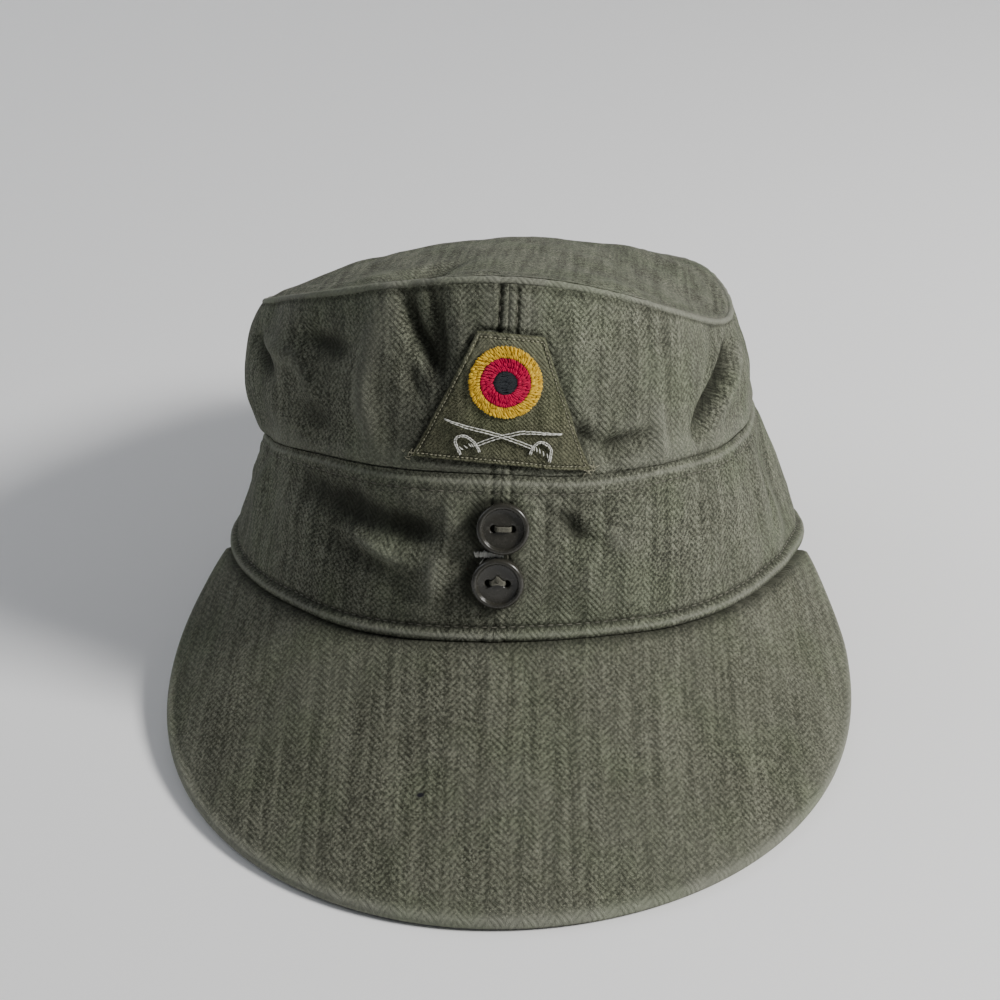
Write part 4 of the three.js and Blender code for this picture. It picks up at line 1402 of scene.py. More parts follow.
@dataclass
class Flap:
    """The turned-up flap round the lower crown, with its rolled lower edge."""

    wall: WallForm
    underside: float = -1.3
    groove_up: float = 4.1
    stitch_level: float = 43.4
    top_level: float = 48.5
    step: float = 1.45
    roll: tuple[tuple[float, float], ...] = (
        (0.0, 3.7), (0.4, 4.0), (0.9, 4.3), (1.5, 4.45), (2.1, 4.35), (2.7, 3.95), (3.2, 3.4), (3.6, 2.85),
        (4.1, 2.45), (4.7, 2.65), (5.6, 2.95), (9.0, 3.0), (60.0, 3.0))
    edge: tuple[tuple[float, float], ...] = (
        (38.0, 0.0), (41.0, -0.15), (42.6, -0.2), (43.4, -0.5), (44.3, -0.3), (45.4, -0.35), (46.2, -0.55),
        (46.7, -0.85), (47.0, -1.15), (47.2, -1.45))
    foot_lift: tuple[tuple[float, float], ...] = (
        (-180, 0), (-92, 0), (-78, 0.7), (-57, 1.4), (-42, 1.3), (-29, 0.1), (-20, 0.3), (-8, 0.9), (7, 1.4),
        (22, 1.1), (31, 0.1), (43, 0.2), (50, 0.9), (60, 2.3), (70, 3.0), (80, 1.6), (92, 0), (180, 0))
    button_calm: tuple[float, float, float] = (2.2, 26.0, 10.0)

    @classmethod
    def foot(cls, degrees: Array) -> Array:
        """Level of the flap's lower edge, which rises a little on both sides of the middle."""
        angles, lifts = (np.array(values) for values in zip(*cls.foot_lift))
        return cls.underside + smooth_reading(degrees, angles, lifts)

    def face(self, degrees: Array, level: Array) -> Array:
        """How far the flap's outer face lies off the folded wall."""
        height = level - self.foot(degrees)
        body = np.interp(height, *zip(*self.roll)) + np.interp(level, *zip(*self.edge))
        x, up, reach = self.button_calm
        across = turn_between(degrees, x / self.wall.arc_per_degree) * self.wall.arc_per_degree
        calm = 1 - 0.85 * np.exp(-(across / reach) ** 2 - ((level - up) / (reach + 4)) ** 2)
        inside = step_down(-height, -6.5, 1.0) * step_down(level, 42.5, 0.9)
        relief = self.wall.drape(self.wall.bare(degrees, level)) * (0.15 + 0.85 * inside * calm)
        freed = 0.15 + 0.85 * step_down(-height, -6.5, 1.0)
        relief = relief + self.wall.crease_push(degrees, level) * freed
        puckers = 0.2 * self.wall.gathers(degrees + 1.7, level - self.stitch_level, 3.2)
        puckers += 0.26 * self.wall.gathers(degrees + 3.1, height - self.groove_up - 1.3, 3.0)
        return body + relief + puckers + 0.5 * self.wall.seam_relief(degrees, level)

    def half(self, side: Side) -> Sheet:
        """One half of the flap."""
        low, middle, high = np.linspace(0, 7.5, 34), np.arange(8.4, 39, 0.95), np.linspace(39.5, 46.5, 20)
        base = np.concatenate([low, middle, high]) / 46.5
        share = seam_spread(HALF_TURN * self.wall.arc_per_degree, self.step)[:, None]
        foot = self.foot(side.value * 180 * share)
        level = foot + base[None, :] * (self.top_level - foot)
        degrees = self.wall.half_angles(side, level, self.step)
        face = self.face(degrees, level)
        height = level - foot
        lining = np.interp(height, [0, 2.1], [1.4, 0.6])
        lining = lining + np.interp(level, [45.6, 46.5, 47.0, 47.2], [0, 0.25, 0.6, 0.9])
        lining = np.minimum(lining + self.wall.crease_push(degrees, level), face - 0.5)
        outer = self.wall.point(degrees, level, face)
        inner = self.wall.point(degrees, level, lining)
        uv = cloth_places(self.wall.point(degrees, level, 3.0)) * [side.value, 1]
        wear = 0.85 * bump_of(height - 1.9, 0.75) + 0.8 * bump_of(level - 46.6, 0.8)
        # Painted shade: the hollows of the folds, the groove above the rolled edge, the stitched line below
        # the top, the grooves beside the seam and the foot where the flap meets the peak are made darker.
        folded = face - 3.0 + 0.5 * self.wall.fold_push(degrees, level)
        wear = wear + fold_wear(folded) * (height > 5)
        groove_shade = 0.9 * bump_of(height - self.groove_up, 0.8) + 0.45 * bump_of(level - self.stitch_level, 0.6)
        strip = bump_of(self.wall.seam_distance(degrees, level) - STRIP_HALF, 0.7)
        wear = wear - groove_shade - 0.35 * strip * (level < 42) - 0.9 * bump_of(height, 0.6)
        # Painted shadow of each button: a darkened ring round it, shifted to the left, where the buttons
        # cast their shadow.
        x = self.wall.bare(degrees, level)[..., 0]
        for place in BUTTON_PLACES:
            away = np.hypot(x - place.x + 1.7, level - place.level) - 7.5
            front = np.abs(turn_between(degrees, 0)) < FRONT_REACH
            wear = wear - 1.05 * bump_of(np.maximum(away, 0), 1.6) * front
        return faced(shell(outer, inner, uv, wear))

    def build(self, shop: Workshop) -> None:
        """Makes both halves and their stitches.

        Args:
            shop: Where pieces are finished.
        """
        for side in Side:
            node = f"flap_{side.word}"
            shop.add(f"sewn_{node}", self.half(side), Finish.FIELD, "field_cloth", [node])
        lines = []
        degrees = np.linspace(-179, 179, 1400)
        for level in (np.full_like(degrees, self.stitch_level), self.foot(degrees) + self.groove_up):
            lines.append(stitch_line(self.wall, degrees, level, self.face(degrees, level) - 0.1))
        shop.add("flap_edge_stitches", Sheet.join(lines), Finish.SEWING, "sewing_thread")
        strips = []
        for way in (-1, 1):
            level = np.linspace(10, 41, 120)
            degrees = self.wall.seam_angle(level) + way * STRIP_HALF / self.wall.arc_per_degree
            strips.append(stitch_line(self.wall, degrees, level, self.face(degrees, level) - 0.1))
        shop.add("flap_seam_stitches", Sheet.join(strips), Finish.SEWING, "sewing_thread")


def smooth_reading(place: Array, places: Array, values: Array) -> Array:
    """Reads a table of values with rounded corners between its rows."""
    fine = np.linspace(places[0], places[-1], 900)
    line = np.interp(fine, places, values)
    for _ in range(3):
        padded = np.pad(line, 6, mode="edge")
        line = np.convolve(padded, np.ones(13) / 13, mode="valid")
    return np.interp(place, fine, line)


@dataclass
class Peak:
    """The stiff peak, covered in cloth that is rolled round its edge."""

    wall: WallForm
    length: float = 83.0
    half_angle: float = 80.1
    slope: float = 39.3
    side_slope: float = 8.6
    fan: float = 0.97
    turn: float = 2.4
    thickness: float = 3.2
    end: float = 0.98
    seat_offset: float = 4.4
    root_offset: float = 1.2
    seat_drop: float = 1.75
    columns: int = 241

    def degrees(self) -> Array:
        """Angle of each line round the head."""
        return np.linspace(-self.end, self.end, self.columns) * self.half_angle

    def lines(self) -> dict[str, Array]:
        """Where each straight line of the peak starts, which way it runs and how long it is."""
        degrees = self.degrees()
        s = degrees / self.half_angle
        slope = np.radians(self.slope + self.side_slope * s * s)
        heading = np.radians(self.fan * degrees + self.turn)
        seat = self.wall.point(degrees, np.zeros_like(s), self.seat_offset)
        root = self.wall.point(degrees, np.zeros_like(s), self.root_offset)
        seat[:, 2] = 0
        root[:, 2] = -self.seat_drop
        dip, ahead = np.sin(slope), np.cos(slope)
        way = np.stack([ahead * np.sin(heading), -ahead * np.cos(heading), -dip], axis=-1)
        below = np.stack([-dip * np.sin(heading), dip * np.cos(heading), -ahead], axis=-1)
        return {"seat": seat, "root": root, "way": way, "below": below, "length": self.length * (1 - s * s)}

    def board(self) -> Sheet:
        """The whole peak as one closed body."""
        line = self.lines()
        half = self.thickness / 2
        length = line["length"][:, None]
        shares = 1 - (1 - np.linspace(0, 1, 60)) ** 1.15
        flat = shares[None, :] * (1 - half / length)
        roll = np.radians(np.linspace(0, 82, 9)[1:])[None, :]
        share = np.concatenate([flat, 1 - half * (1 - np.sin(roll)) / length], axis=1)
        edge_depth = half - half * np.cos(roll) * np.ones_like(length)
        top_depth = np.concatenate([np.zeros_like(flat), edge_depth], axis=1)
        from_edge = (1 - share) * length
        calm = np.clip(length / 20, 0, 1)
        bead = calm * (0.3 * bump_of(from_edge - 1.9, 1.3) - 0.16 * bump_of(from_edge - 4.6, 0.9))
        top = self.surface(line, share, top_depth)
        drape = self.wall.drape(top * 0.8 + 11) * 0.35 * np.clip(from_edge / 8, 0, 1) * calm
        lift = (bead + drape)[..., None]
        top = top - line["below"][:, None] * lift
        bottom = self.surface(line, share, self.thickness - top_depth)
        places = self.flat_places(line, share)
        wear = 0.95 * bump_of(from_edge - 0.6, 2.3) + 0.12 * bump_of(from_edge, 9)
        # Painted shade at the root, where the peak runs in under the flap's rolled edge.
        wear = wear - 0.75 * bump_of(share * length, 2.2)
        lift = Flap.foot(self.degrees()) - Flap.underside + 0.3
        rise = lift[:, None] * bump_of(share * length, 12.0)
        top[..., 2] += rise
        root_top = line["root"][:, None] + np.array([0, 0, 1]) * lift[:, None, None]
        root_low = line["root"][:, None] + line["below"][:, None] * self.thickness
        outer = np.concatenate([root_top, top], axis=1)
        inner = np.concatenate([root_low, bottom], axis=1)
        places = np.concatenate([places[:, :1], places], axis=1)
        wear = np.concatenate([wear[:, :1], wear], axis=1)
        return faced(shell(outer, inner, places, wear))

    def surface(self, line: dict[str, Array], share: Array, depth: Array) -> Array:
        """Points of the peak by share of each line and depth into the board."""
        run = (share * line["length"][:, None])[..., None]
        points = line["seat"][:, None] + line["way"][:, None] * run
        points = points + line["below"][:, None] * depth[..., None]
        points[..., 2] -= self.seat_drop * (1 - share)
        return points

    def flat_places(self, line: dict[str, Array], share: Array) -> Array:
        """Unrolls the lines into the flat piece of cloth that covers the peak, grain from front to back."""
        zero, one = np.zeros((self.columns, 1)), np.ones((self.columns, 1))
        rim = self.surface(line, zero, zero)[:, 0]
        edge = self.surface(line, one, zero)[:, 0]
        near, far = [np.zeros(2)], [np.array([0.0, -np.linalg.norm(edge[0] - rim[0])])]
        for i in range(1, self.columns):
            near.append(third_corner(near[-1], far[-1], np.linalg.norm(rim[i] - rim[i - 1]),
                                     np.linalg.norm(rim[i] - edge[i - 1])))
            far.append(third_corner(near[-1], far[-1], np.linalg.norm(edge[i] - rim[i]),
                                    np.linalg.norm(edge[i] - edge[i - 1])))
        near, far = np.array(near), np.array(far)
        middle = self.columns // 2
        grain = unit(near[middle] - far[middle])
        turn = np.array([[grain[1], -grain[0]], [grain[0], grain[1]]])
        near, far = (near - near[middle]) @ turn.T, (far - near[middle]) @ turn.T
        return near[:, None] + (far - near)[:, None] * share[..., None]

    def build(self, shop: Workshop) -> None:
        """Makes the peak.

        Args:
            shop: Where pieces are finished.
        """
        shop.add("sewn_peak", self.board(), Finish.PEAK, "field_cloth", ["peak"])


def third_corner(a: Array, b: Array, from_a: float, from_b: float) -> Array:
    """Third corner of a flat triangle on the right of the way from a to b.

    Args:
        a: First corner.
        b: Second corner.
        from_a: Distance of the third corner from a.
        from_b: Distance of the third corner from b.

    Returns:
        The third corner.
    """
    base = b - a
    span = float(np.linalg.norm(base))
    along = (from_a ** 2 - from_b ** 2 + span ** 2) / (2 * span)
    height = math.sqrt(max(from_a ** 2 - along ** 2, 0.0))
    way = base / span
    return a + way * along + np.array([-way[1], way[0]]) * height


@dataclass
class Badge:
    """The sewn patch with its embroidered cockade and crossed sabres."""

    wall: WallForm
    thickness: float = 0.9
    seat: float = 1.65
    cockade: tuple[float, float] = (4.0, 74.6)
    crossing: tuple[float, float] = (4.3, 59.2)
    edge_stitch: float = 1.3
    foot_width: float = 52.0
    top_width: float = 18.3
    height: float = 36.0

    def face_point(self, x: Array, level: Array, offset: Array | float) -> tuple[Array, Array]:
        """A point on the front wall by its distance from the middle, and the way outwards there."""
        degrees = self.wall.front_angle(x, level)
        level = np.broadcast_to(level, degrees.shape)
        relief = self.wall.fine(degrees, level) + self.wall.lean(level)
        return self.wall.point(degrees, level, relief + offset), self.wall.frame(degrees, level)[3]

    def flat_place(self, u: Array, v: Array) -> tuple[Array, Array]:
        """Distance from the middle and level for shares across and up the patch."""
        low_left, low_right, top_right, top_left = np.array(PATCH_CORNERS)
        low = low_left + (low_right - low_left) * u[..., None]
        top = top_left + (top_right - top_left) * u[..., None]
        both = low + (top - low) * v[..., None]
        return both[..., 0], both[..., 1]

    def patch(self) -> Sheet:
        """The cloth patch with turned edges and a sewn line inside them."""
        even = [np.linspace(0, 1, count) for count in (119, 97)]
        shares = [0.65 * t + 0.175 - 0.175 * np.cos(math.pi * t) for t in even]
        u, v = np.meshgrid(*shares, indexing="ij")
        x, level = self.flat_place(u, v)
        width = self.foot_width + (self.top_width - self.foot_width) * v
        from_side = np.minimum(u, 1 - u) * width * 0.93
        distance = np.minimum(from_side, np.minimum(v, 1 - v) * self.height)
        rounded = np.sqrt(1 - (1 - np.clip(distance / 0.7, 0, 1)) ** 2)
        groove = -0.32 * bump_of(distance - self.edge_stitch, 0.45)
        puff = 0.05 * bump_of(distance - 0.8, 0.5)
        puff = puff - 0.12 * (distance > 2.2) * (1 - bump_of(distance - 2.2, 1.0))
        waves = 0.1 * np.sin(x * 2.1 + level * 0.9) * bump_of(distance - 1.0, 1.6)
        face = GAP + 0.25 + (self.thickness - 0.25) * rounded + groove + puff + waves
        outer, _ = self.face_point(x, level, face)
        inner, _ = self.face_point(x, level, GAP)
        # The rolled border is rubbed paler; the very edge and the stitched groove are painted darker as
        # shade, the upper part is paler and the lower part is darkened with painted shade.
        wear = 0.45 * bump_of(distance - 0.9, 0.5) - bump_of(distance, 0.35)
        wear = wear - 0.6 * bump_of(distance - self.edge_stitch, 0.4)
        wear = wear + 0.55 * np.clip((level - 72) / 12, 0, 1) - 0.3 * np.clip((66 - level) / 8, 0, 1)
        return faced(shell(outer, inner, np.stack([-x, level], axis=-1), wear))

    def edge_stitches(self) -> Sheet:
        """The sewing stitches just inside the patch's edge."""
        inset_u, inset_v = 0.026, self.edge_stitch / self.height
        route = [(inset_u, inset_v), (1 - inset_u, inset_v), (1 - inset_u * 1.9, 1 - inset_v),
                 (inset_u * 1.9, 1 - inset_v), (inset_u, inset_v)]
        sheets = []
        for (u0, v0), (u1, v1) in zip(route, route[1:]):
            u, v = np.linspace(u0, u1, 60), np.linspace(v0, v1, 60)
            x, level = self.flat_place(u, v)
            degrees = self.wall.front_angle(x, level)
            offset = self.wall.fine(degrees, level) + self.wall.lean(level) + GAP + self.thickness - 0.25
            sheets.append(stitch_line(self.wall, degrees, level, offset, EDGE_STYLE, 1.25))
        sheets += self.loose_ends()
        return Sheet.join(sheets)

    def loose_ends(self) -> list[Sheet]:
        """Short frayed thread ends at the two lower corners of the patch."""
        rng = np.random.default_rng(SEED + 9)
        sheets = []
        for (x0, level0), count in zip(PATCH_CORNERS[:2], (7, 16)):
            for _ in range(count):
                t = np.linspace(0, 1, 7)
                turn, bend = rng.uniform(0, math.tau), rng.normal(0, 1.0)
                size = rng.uniform(0.7, 1.9)
                x = x0 + rng.normal(0, 0.8) + size * t * np.cos(turn + bend * t)
                level = level0 + 0.6 + rng.normal(0, 0.9) + size * t * np.sin(turn + bend * t)
                lift = 1.0 + 0.5 * np.sin(math.pi * t) * rng.uniform(0.2, 1)
                path, _ = self.face_point(x, level, lift)
                sheets.append(tube(path, 0.09, 5, float(rng.uniform(0.5, 1.0))))
        return sheets

    def ring_pad(self, inner: float, outer: float) -> Sheet:
        """The even padding under the stitches of one ring."""
        turn = np.linspace(0, math.tau, 96, endpoint=False)[:, None]
        radius = np.linspace(outer, inner, 7)[None, :]
        x = self.cockade[0] + radius * np.cos(turn)
        level = self.cockade[1] + radius * np.sin(turn)
        crown = 0.14 * np.sin(np.linspace(0.12, math.pi - 0.12, 7))[None, :]
        top, _ = self.face_point(x, level, self.seat - 0.2 + crown)
        low, _ = self.face_point(x, level, self.seat - 0.42)
        places = np.stack([x, level], axis=-1)
        places = np.concatenate([places, places[:1]])
        hub = inner == 0
        rows = slice(0, -1 if hub else None)
        worn_and_shaded = np.zeros(x[:, rows].shape)
        return faced(shell(top[:, rows], low[:, rows], places[:, rows], worn_and_shaded, True, hub))

    def ring_stitches(self, inner: float, outer: float, rows: int, slant: float, seed: int) -> Sheet:
        """Rows of slanting stitches round one ring of the cockade.

        Args:
            inner: Inner radius.
            outer: Outer radius.
            rows: How many rows of stitches fill the ring.
            slant: How far each stitch leans from the radial way, in mm.
            seed: Start of the random draws.

        Returns:
            The stitches as one sheet.
        """
        rng = np.random.default_rng(seed)
        edges = np.linspace(inner, outer, rows + 1)
        sheets = []
        for low, high in zip(edges, edges[1:]):
            count = int(math.tau * (low + high) / 2 / 0.52)
            turn = np.arange(count) * math.tau / count + rng.normal(0, 0.02, count)
            lean = slant / high
            shift = rng.uniform(-0.38, 0.38, count)
            first = np.maximum(low - 0.2 + shift, inner - 0.1)
            second = np.minimum(high + 0.2 + shift, outer + 0.1)
            starts, outs = self.round_place(first, turn)
            ends, _ = self.round_place(second, turn + lean)
            sheets.append(stitches(starts, ends, outs, SATIN_STYLE, rng.uniform(0, 1, count)))
        return Sheet.join(sheets)

    def round_place(self, radius: Array, turn: Array) -> tuple[Array, Array]:
        """Place on the patch by radius and turn round the cockade."""
        x = self.cockade[0] + radius * np.cos(turn)
        return self.face_point(x, self.cockade[1] + radius * np.sin(turn), self.seat)

    def disc_stitches(self, radius: float) -> Sheet:
        """Level satin stitches across the dark middle of the cockade."""
        rng = np.random.default_rng(SEED + 3)
        heights = np.arange(-radius + 0.2, radius, 0.3)
        halves = np.sqrt(radius ** 2 - heights ** 2)
        sheets = []
        for way in (-1, 1):
            split = halves * rng.uniform(-0.5, 0.5, len(heights))
            start = self.cockade[0] + np.where(way < 0, -halves, split) - 0.1
            end = self.cockade[0] + np.where(way < 0, split, halves) + 0.1
            level = self.cockade[1] + heights + rng.normal(0, 0.03, len(heights))
            first, outs = self.face_point(start, level, self.seat)
            second, _ = self.face_point(end, level + 0.05, self.seat)
            sheets.append(stitches(first, second, outs, DISC_STYLE, rng.uniform(0, 1, len(heights))))
        return Sheet.join(sheets)

    def thread_run(self, path: Array, shift: float, length: float, radius: float, seed: int) -> Sheet:
        """A run of short stitches beside a path on the patch.

        Args:
            path: Points of the path in mm from the sabres' crossing.
            shift: Distance to the left of the path.
            length: Length of one stitch.
            radius: Radius of the thread.
            seed: Start of the random draws.

        Returns:
            The stitches as one sheet.
        """
        rng = np.random.default_rng(seed)
        line = path + ways_beside(path)[1] * shift
        run = run_along(line)
        count = max(int(round(run[-1] / length)), 1)
        begin = np.arange(count) * run[-1] / count
        end = np.minimum(begin + run[-1] / count * 1.25, run[-1])
        jitter = rng.normal(0, 0.05, (2, count, 2))
        first = read_path(line, run, begin) + jitter[0]
        second = read_path(line, run, end) + jitter[1]
        return self.sewn(first, second, StitchStyle(radius, 0.26, 0.05), rng.uniform(0.35, 1, count))

    def sewn(self, first: Array, second: Array, style: StitchStyle, tones: Array) -> Sheet:
        """Stitches between flat places that are given from the sabres' crossing."""
        first, second = first + self.crossing, second + self.crossing
        starts, outs = self.face_point(first[:, 0], first[:, 1], self.seat - 0.1)
        ends, _ = self.face_point(second[:, 0], second[:, 1], self.seat - 0.1)
        return stitches(starts, ends, outs, style, tones)

    def sabres(self) -> Sheet:
        """Both sabres in pale thread: two lines for each blade, a bowed guard and a few grip stitches."""
        sheets = []
        for number, sabre in enumerate(SABRES):
            blade = smooth_line(sabre.blade, 80)
            narrowing = 0.75 * bump_of(np.linspace(0, 1, 80), 0.16)[:, None]
            for shift in (-0.36, 0.36):
                narrowed = blade - ways_beside(blade)[1] * shift * narrowing
                sheets.append(self.thread_run(narrowed, shift, 1.4, 0.155, 11 + number))
            for shift in (-0.22, 0.2):
                sheets.append(self.thread_run(smooth_line(sabre.guard, 60), shift, 0.9, 0.17, 21 + number))
            sheets.append(self.grip(sabre.grip, 31 + number))
        return Sheet.join(sheets)

    def grip(self, path: Sequence[Sequence[float]], seed: int) -> Sheet:
        """Short slanting stitches along one grip."""
        rng = np.random.default_rng(seed)
        line = smooth_line(path, 7)
        way, side = ways_beside(line)
        first = line - side * 0.6 + way * 0.35 + rng.normal(0, 0.06, line.shape)
        second = line + side * 0.6 - way * 0.35 + rng.normal(0, 0.06, line.shape)
        return self.sewn(first, second, GRIP_STYLE, rng.uniform(0.3, 0.9, len(line)))

    def build(self, shop: Workshop) -> None:
        """Makes the patch and everything embroidered on it.

        Args:
            shop: Where pieces are finished.
        """
        shop.add("sewn_badge_patch", self.patch(), Finish.PATCH, "patch_cloth", ["badge_patch"])
        shop.add("patch_edge_stitches", self.edge_stitches(), Finish.EDGING, "sewing_thread")
        gold = Sheet.join([self.ring_pad(6.85, 9.7), self.ring_stitches(6.75, 9.8, 3, 0.6, 41)])
        shop.add("stitched_gold_ring", gold, Finish.GOLD, "gold_thread", ["cockade_gold_ring"])
        red = Sheet.join([self.ring_pad(3.3, 6.6), self.ring_stitches(3.2, 6.75, 3, 0.55, 43)])
        shop.add("stitched_red_ring", red, Finish.RED, "red_thread", ["cockade_red_ring"])
        black = Sheet.join([self.ring_pad(0.0, 3.05), self.disc_stitches(3.15)])
        shop.add("stitched_black_disc", black, Finish.BLACK, "black_thread", ["cockade_black_disc"])
        shop.add("stitched_sabres", self.sabres(), Finish.PALE, "pale_thread", ["crossed_sabres"])


@dataclass(frozen=True)
class Sabre:
    """One embroidered sabre, in mm from the crossing point."""

    blade: tuple[tuple[float, float], ...]
    guard: tuple[tuple[float, float], ...]
    grip: tuple[tuple[float, float], ...]


SABRES = (
    Sabre(((-16.8, 5.3), (-9.7, 3.0), (-2.6, 1.1), (2, -0.5), (6.6, -2.2)),
          ((6.0, -4.2), (7.2, -1.7), (9.2, -0.6), (11.6, -2.4), (10.9, -5.8)),
          ((6.6, -2.2), (8.6, -3.1), (11.2, -4.6))),
    Sabre(((14.7, 1.4), (5.2, 1.8), (1.8, 1.3), (-4.2, -0.1), (-8.3, -1.8)),
          ((-7.3, -3.7), (-8.9, -0.9), (-11.8, 0.8), (-14, -0.5), (-12.4, -4.6)),
          ((-8.3, -1.8), (-10, -1.9), (-13.2, -3.1))),
)


class Button:
    """The two sewn buttons: a dished face inside a rounded rim, with two thread holes."""

    radius = 7.4
    height = 3.0
    dish = 5.75
    floor = 1.85
    hole = 1.0
    hole_out = 2.6
    sides = 112
    hole_sides = 36
    flap_face = 3.0

    def __init__(self, wall: WallForm) -> None:
        """Keeps the wall that the buttons are sewn to."""
        self.wall = wall

    @classmethod
    def seat(cls, wall: WallForm, place: ButtonPlace, x: float | None = None) -> tuple[Array, ...]:
        """Seat point and the ways across, up and out at one place on the flap."""
        degrees = wall.front_angle(place.x if x is None else x, place.level)
        _, across, _, out = wall.frame(degrees, np.float64(place.level))
        up = np.cross(out, across)
        roll = math.radians(place.roll)
        turned = across * math.cos(roll) + up * math.sin(roll)
        point = wall.point(degrees, np.float64(place.level), cls.flap_face + GAP)
        return point, turned, np.cross(out, turned), out

    def local(self, place: ButtonPlace, points: Array) -> Array:
        """Points given as across, up and out from the button's seat."""
        seat, across, up, out = self.seat(self.wall, place)
        return seat + points[..., :1] * across + points[..., 1:2] * up + points[..., 2:3] * out

    def profile(self) -> Array:
        """Radius and height of the turned section, from the back round to the middle of the dish."""
        corner = np.radians(np.linspace(-80, 0, 6))
        low = [(self.radius - 0.8 + 0.8 * math.cos(t), 0.8 + 0.8 * math.sin(t)) for t in corner]
        crown = [(self.radius - 0.9 + 0.9 * math.cos(t), self.height - 0.9 + 0.9 * math.sin(t))
                 for t in np.radians(np.linspace(5, 95, 9))]
        slope = [(6.15, 2.93), (5.98, 2.78), (5.86, 2.5), (self.dish, 2.12), (5.6, self.floor + 0.06),
                 (5.3, self.floor), (3.8, self.floor - 0.03)]
        dish = [(2.0, self.floor - 0.05), (0.02, self.floor - 0.05)]
        return np.array([(5.2, 0.0), *low, *crown, *slope, *dish])

    def mesh(self, place: ButtonPlace, shop: Workshop) -> bpy.types.Mesh:
        """The button's mesh with its two holes cut through, in place."""
        blank = plain_object("button_blank", turned_body(self.profile(), self.sides))
        for way in (-1, 1):
            drill = plain_object("button_drill", self.drill(way * self.hole_out))
            cut = blank.modifiers.new("hole", "BOOLEAN")
            cut.operation, cut.solver, cut.object = "DIFFERENCE", "EXACT", drill
        graph = bpy.context.evaluated_depsgraph_get()
        done = bpy.data.meshes.new_from_object(blank.evaluated_get(graph))
        names = ("button_blank", "button_drill")
        for spare in [item for item in bpy.data.objects if item.name.startswith(names)]:
            bpy.data.objects.remove(spare)
        places = np.array([vertex.co for vertex in done.vertices])
        done.vertices.foreach_set("co", shop.place.points(self.local(place, places)).reshape(-1))
        done.materials.clear()
        return done

    def drill(self, x: float) -> Sheet:
        """A cutter for one hole, flared where it meets the face."""
        flare = [(1.06, 1.62), (1.22, 1.78), (1.5, 1.95), (1.5, 4.0)]
        return turned_body(np.array([(self.hole, -1.0), (self.hole, 1.45), *flare]), self.hole_sides, x)

    def thread(self, place: ButtonPlace) -> Sheet:
        """The strands that hold a button; the lower one's strands are drawn together into a small tuft."""
        rng = np.random.default_rng(SEED + int(place.level))
        tuft = place.name == "lower"
        strands = []
        for k in range(5 if tuft else 4):
            y = (k - 1.5) * 0.36
            reach = 2.15 if tuft else 2.3
            t = np.linspace(-1, 1, 15)
            x = t * reach + (0.0 if tuft else 0.35) * (1 - t * t)
            pull = (0.35 + 0.36 * k) * (1 - np.abs(t)) ** 1.3 if tuft else 0.0 * t
            up = 0.42 + 0.2 * (1 - t * t) - 1.2 * np.clip(np.abs(t) - 0.82, 0, 1) / 0.18 * 0.9
            beside = y * (0.55 if tuft else 1.0) + pull + rng.normal(0, 0.02, 15)
            path = np.stack([x, beside, self.floor + up], axis=-1)
            strands.append(tube(self.local(place, path), 0.19, 8, float(rng.uniform(0.2, 0.8))))
        if tuft:
            for k in range(7):
                tip = np.array([rng.normal(0.2, 0.35), rng.uniform(1.2, 2.7), rng.uniform(0.5, 1.3)])
                root = np.array([rng.normal(0.1, 0.3), 0.5, 0.65])
                t = np.linspace(0, 1, 6)[:, None]
                bend = np.array([0.3 * rng.normal(), 0, 0.25])
                path = root + (tip - root) * t + bend * np.sin(math.pi * t)
                path[:, 2] += self.floor
                strands.append(tube(self.local(place, path), 0.07, 5, 0.8))
        return Sheet.join(strands)

    def tack(self) -> Sheet:
        """The fuzzy row of thread between the buttons."""
        rng = np.random.default_rng(SEED + 2)
        spot = ButtonPlace("tack", -1.9, 25.8, 0.0)
        sheets = []
        for k in range(3):
            t = np.linspace(-1, 1, 12)
            sway = (k - 1) * 0.35 + 0.12 * np.sin(5 * t + k)
            path = np.stack([0.9 + t * 3.6, sway, 0.32 + 0.12 * (1 - t * t)], axis=-1)
            sheets.append(tube(self.local(spot, path), 0.2, 7, 0.5))
        for x in np.linspace(-2.7, 5.2, 21):
            lean = rng.normal(0, 0.3)
            t = np.linspace(-1, 1, 7)
            wide = rng.uniform(0.45, 0.85)
            path = np.stack([x + lean * t, wide * t, 0.1 + 0.62 * np.sqrt(1 - 0.98 * t * t)], axis=-1)
            sheets.append(tube(self.local(spot, path), 0.16, 6, float(rng.uniform(0.3, 1.0))))
        for _ in range(34):
            root = np.array([rng.uniform(-3.0, 5.8), rng.normal(0, 0.4), 0.4])
            tip = root + np.array([rng.normal(0, 0.7), rng.normal(0, 0.8), rng.uniform(0.2, 0.9)])
            t = np.linspace(0, 1, 5)[:, None]
            path = root + (tip - root) * t + np.array([0, 0.2, 0.2]) * np.sin(math.pi * t)
            sheets.append(tube(self.local(spot, path), 0.05, 4, 0.9))
        return Sheet.join(sheets)

    def build(self, shop: Workshop) -> None:
        """Makes both buttons, their threads and the tack between them.

        Args:
            shop: Where pieces are finished.
        """
        for place in BUTTON_PLACES:
            node = f"button_{place.name}"
            mesh = self.mesh(place, shop)
            shop.dress(f"moulded_{node}", mesh, Finish.RESIN, [node], 35.0)
            thread = f"button_thread_{place.name}"
            shop.add(f"strands_{thread}", self.thread(place), Finish.SEWING, "sewing_thread", [thread])
        shop.add("strands_bar_tack", self.tack(), Finish.PALE, "pale_thread", ["bar_tack"])


def plain_object(name: str, sheet: Sheet) -> bpy.types.Object:
    """A helper object for cutting, which never stays in the scene."""
    mesh = bpy.data.meshes.new(name)
    mesh.from_pydata(sheet.points.tolist(), [], sheet.faces)
    item = bpy.data.objects.new(name, mesh)
    bpy.context.scene.collection.objects.link(item)
    return item


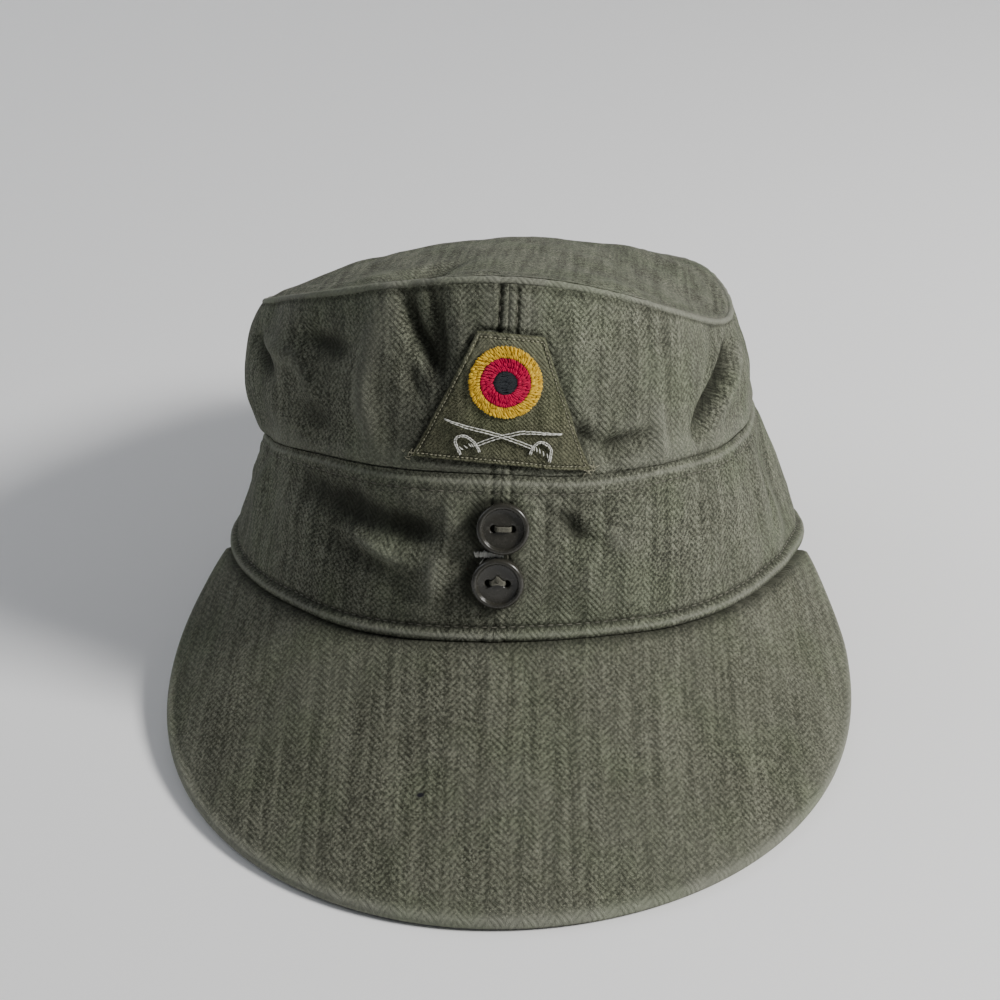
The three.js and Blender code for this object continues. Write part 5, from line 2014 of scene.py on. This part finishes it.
@dataclass(frozen=True)
class Lamp:
    """A square soft light: degrees right of the front and above the floor, then metres away and across."""

    name: str
    azimuth: float
    height: float
    away: float
    size: float
    watts: float
    colour: tuple[float, float, float]


LAMPS = (
    Lamp("window", 75, 36, 1.35, 0.34, 27.5, (1.0, 0.985, 0.96)),
    Lamp("far_wall", -105, 32, 1.8, 1.4, 9.5, (0.93, 0.96, 1.0)),
)


@dataclass
class Studio:
    """Floor, backdrop, soft light and the camera at the photograph's angle."""

    place: Placement
    camera_at: tuple[float, float, float] = (36.75, -582.84, 205.06)
    looks_along: tuple[float, float, float] = (-0.0667154, 0.946068, -0.3170242)
    camera_up: tuple[float, float, float] = (-0.0091978, 0.3171354, 0.9483357)
    focal_pixels: float = 1857.0
    picture_pixels: float = 1000.0
    aim_up: float = 0.07

    def camera(self) -> None:
        """The camera, with the photograph's own lens angle."""
        data = bpy.data.cameras.new("camera")
        data.sensor_width = 36.0
        data.lens = self.focal_pixels / self.picture_pixels * data.sensor_width
        data.clip_start = 0.01
        camera = bpy.data.objects.new("camera", data)
        ahead = unit(self.place.ways(np.array(self.looks_along)))
        up = self.place.ways(np.array(self.camera_up))
        across = unit(np.cross(ahead, up))
        up = np.cross(across, ahead)
        where = self.place.points(np.array(self.camera_at))
        turn = Matrix([[*row] for row in np.stack([across, up, -ahead], axis=1)])
        camera.matrix_world = Matrix.Translation(Vector(where)) @ turn.to_4x4()
        bpy.context.scene.collection.objects.link(camera)
        bpy.context.scene.camera = camera

    def ground(self, shop: Workshop) -> None:
        """A floor that curves up into a plain wall."""
        wide, front, start, bend, top = 3.0, -2.5, 0.75, 0.5, 2.6
        line = [(front, 0.0), (start, 0.0)]
        arc = np.linspace(0.1, math.pi / 2, 14)
        line += [(start + bend * math.sin(t), bend - bend * math.cos(t)) for t in arc]
        line.append((start + bend, top))
        points = [(x, y, z) for y, z in line for x in (-wide, wide)]
        faces = [(2 * i, 2 * i + 1, 2 * i + 3, 2 * i + 2) for i in range(len(line) - 1)]
        mesh = bpy.data.meshes.new("pale_sweep")
        mesh.from_pydata(points, [], faces)
        mesh.shade_smooth()
        mesh.materials.append(shop.materials[Finish.GROUND])
        sweep = bpy.data.objects.new("pale_sweep", mesh)
        bpy.context.scene.collection.objects.link(sweep)

    def light(self, lamp: Lamp) -> None:
        """One lamp, aimed at the cap."""
        data = bpy.data.lights.new(lamp.name, "AREA")
        data.size, data.energy, data.color = lamp.size, lamp.watts, lamp.colour
        item = bpy.data.objects.new(lamp.name, data)
        turn, tilt = math.radians(lamp.azimuth), math.radians(lamp.height)
        way = Vector((math.sin(turn) * math.cos(tilt), -math.cos(turn) * math.cos(tilt), math.sin(tilt)))
        item.location = way * lamp.away + Vector((0, 0, self.aim_up))
        item.rotation_euler = way.to_track_quat("Z", "Y").to_euler()
        bpy.context.scene.collection.objects.link(item)

    def build(self, shop: Workshop) -> None:
        """Sets up the ground, the lights and the camera.

        Args:
            shop: Where the ground gets its finish.
        """
        self.ground(shop)
        for lamp in LAMPS:
            self.light(lamp)
        world = bpy.data.worlds.new("room")
        world.use_nodes = True
        background = world.node_tree.nodes["Background"]
        background.inputs["Color"].default_value = (0.9, 0.93, 1.0, 1.0)
        background.inputs["Strength"].default_value = 0.15
        bpy.context.scene.world = world
        self.camera()


def main() -> None:
    """Builds the cap on its frame and sets up the studio."""
    logging.basicConfig(level=logging.INFO, format="%(name)s %(message)s")
    wall = WallForm()
    place = Placement(wall)
    shop = Workshop(place)
    Crown(wall).build(shop)
    Flap(wall).build(shop)
    Peak(wall).build(shop)
    Badge(wall).build(shop)
    Button(wall).build(shop)
    Studio(place).build(shop)


if __name__ == "__main__":
    main()
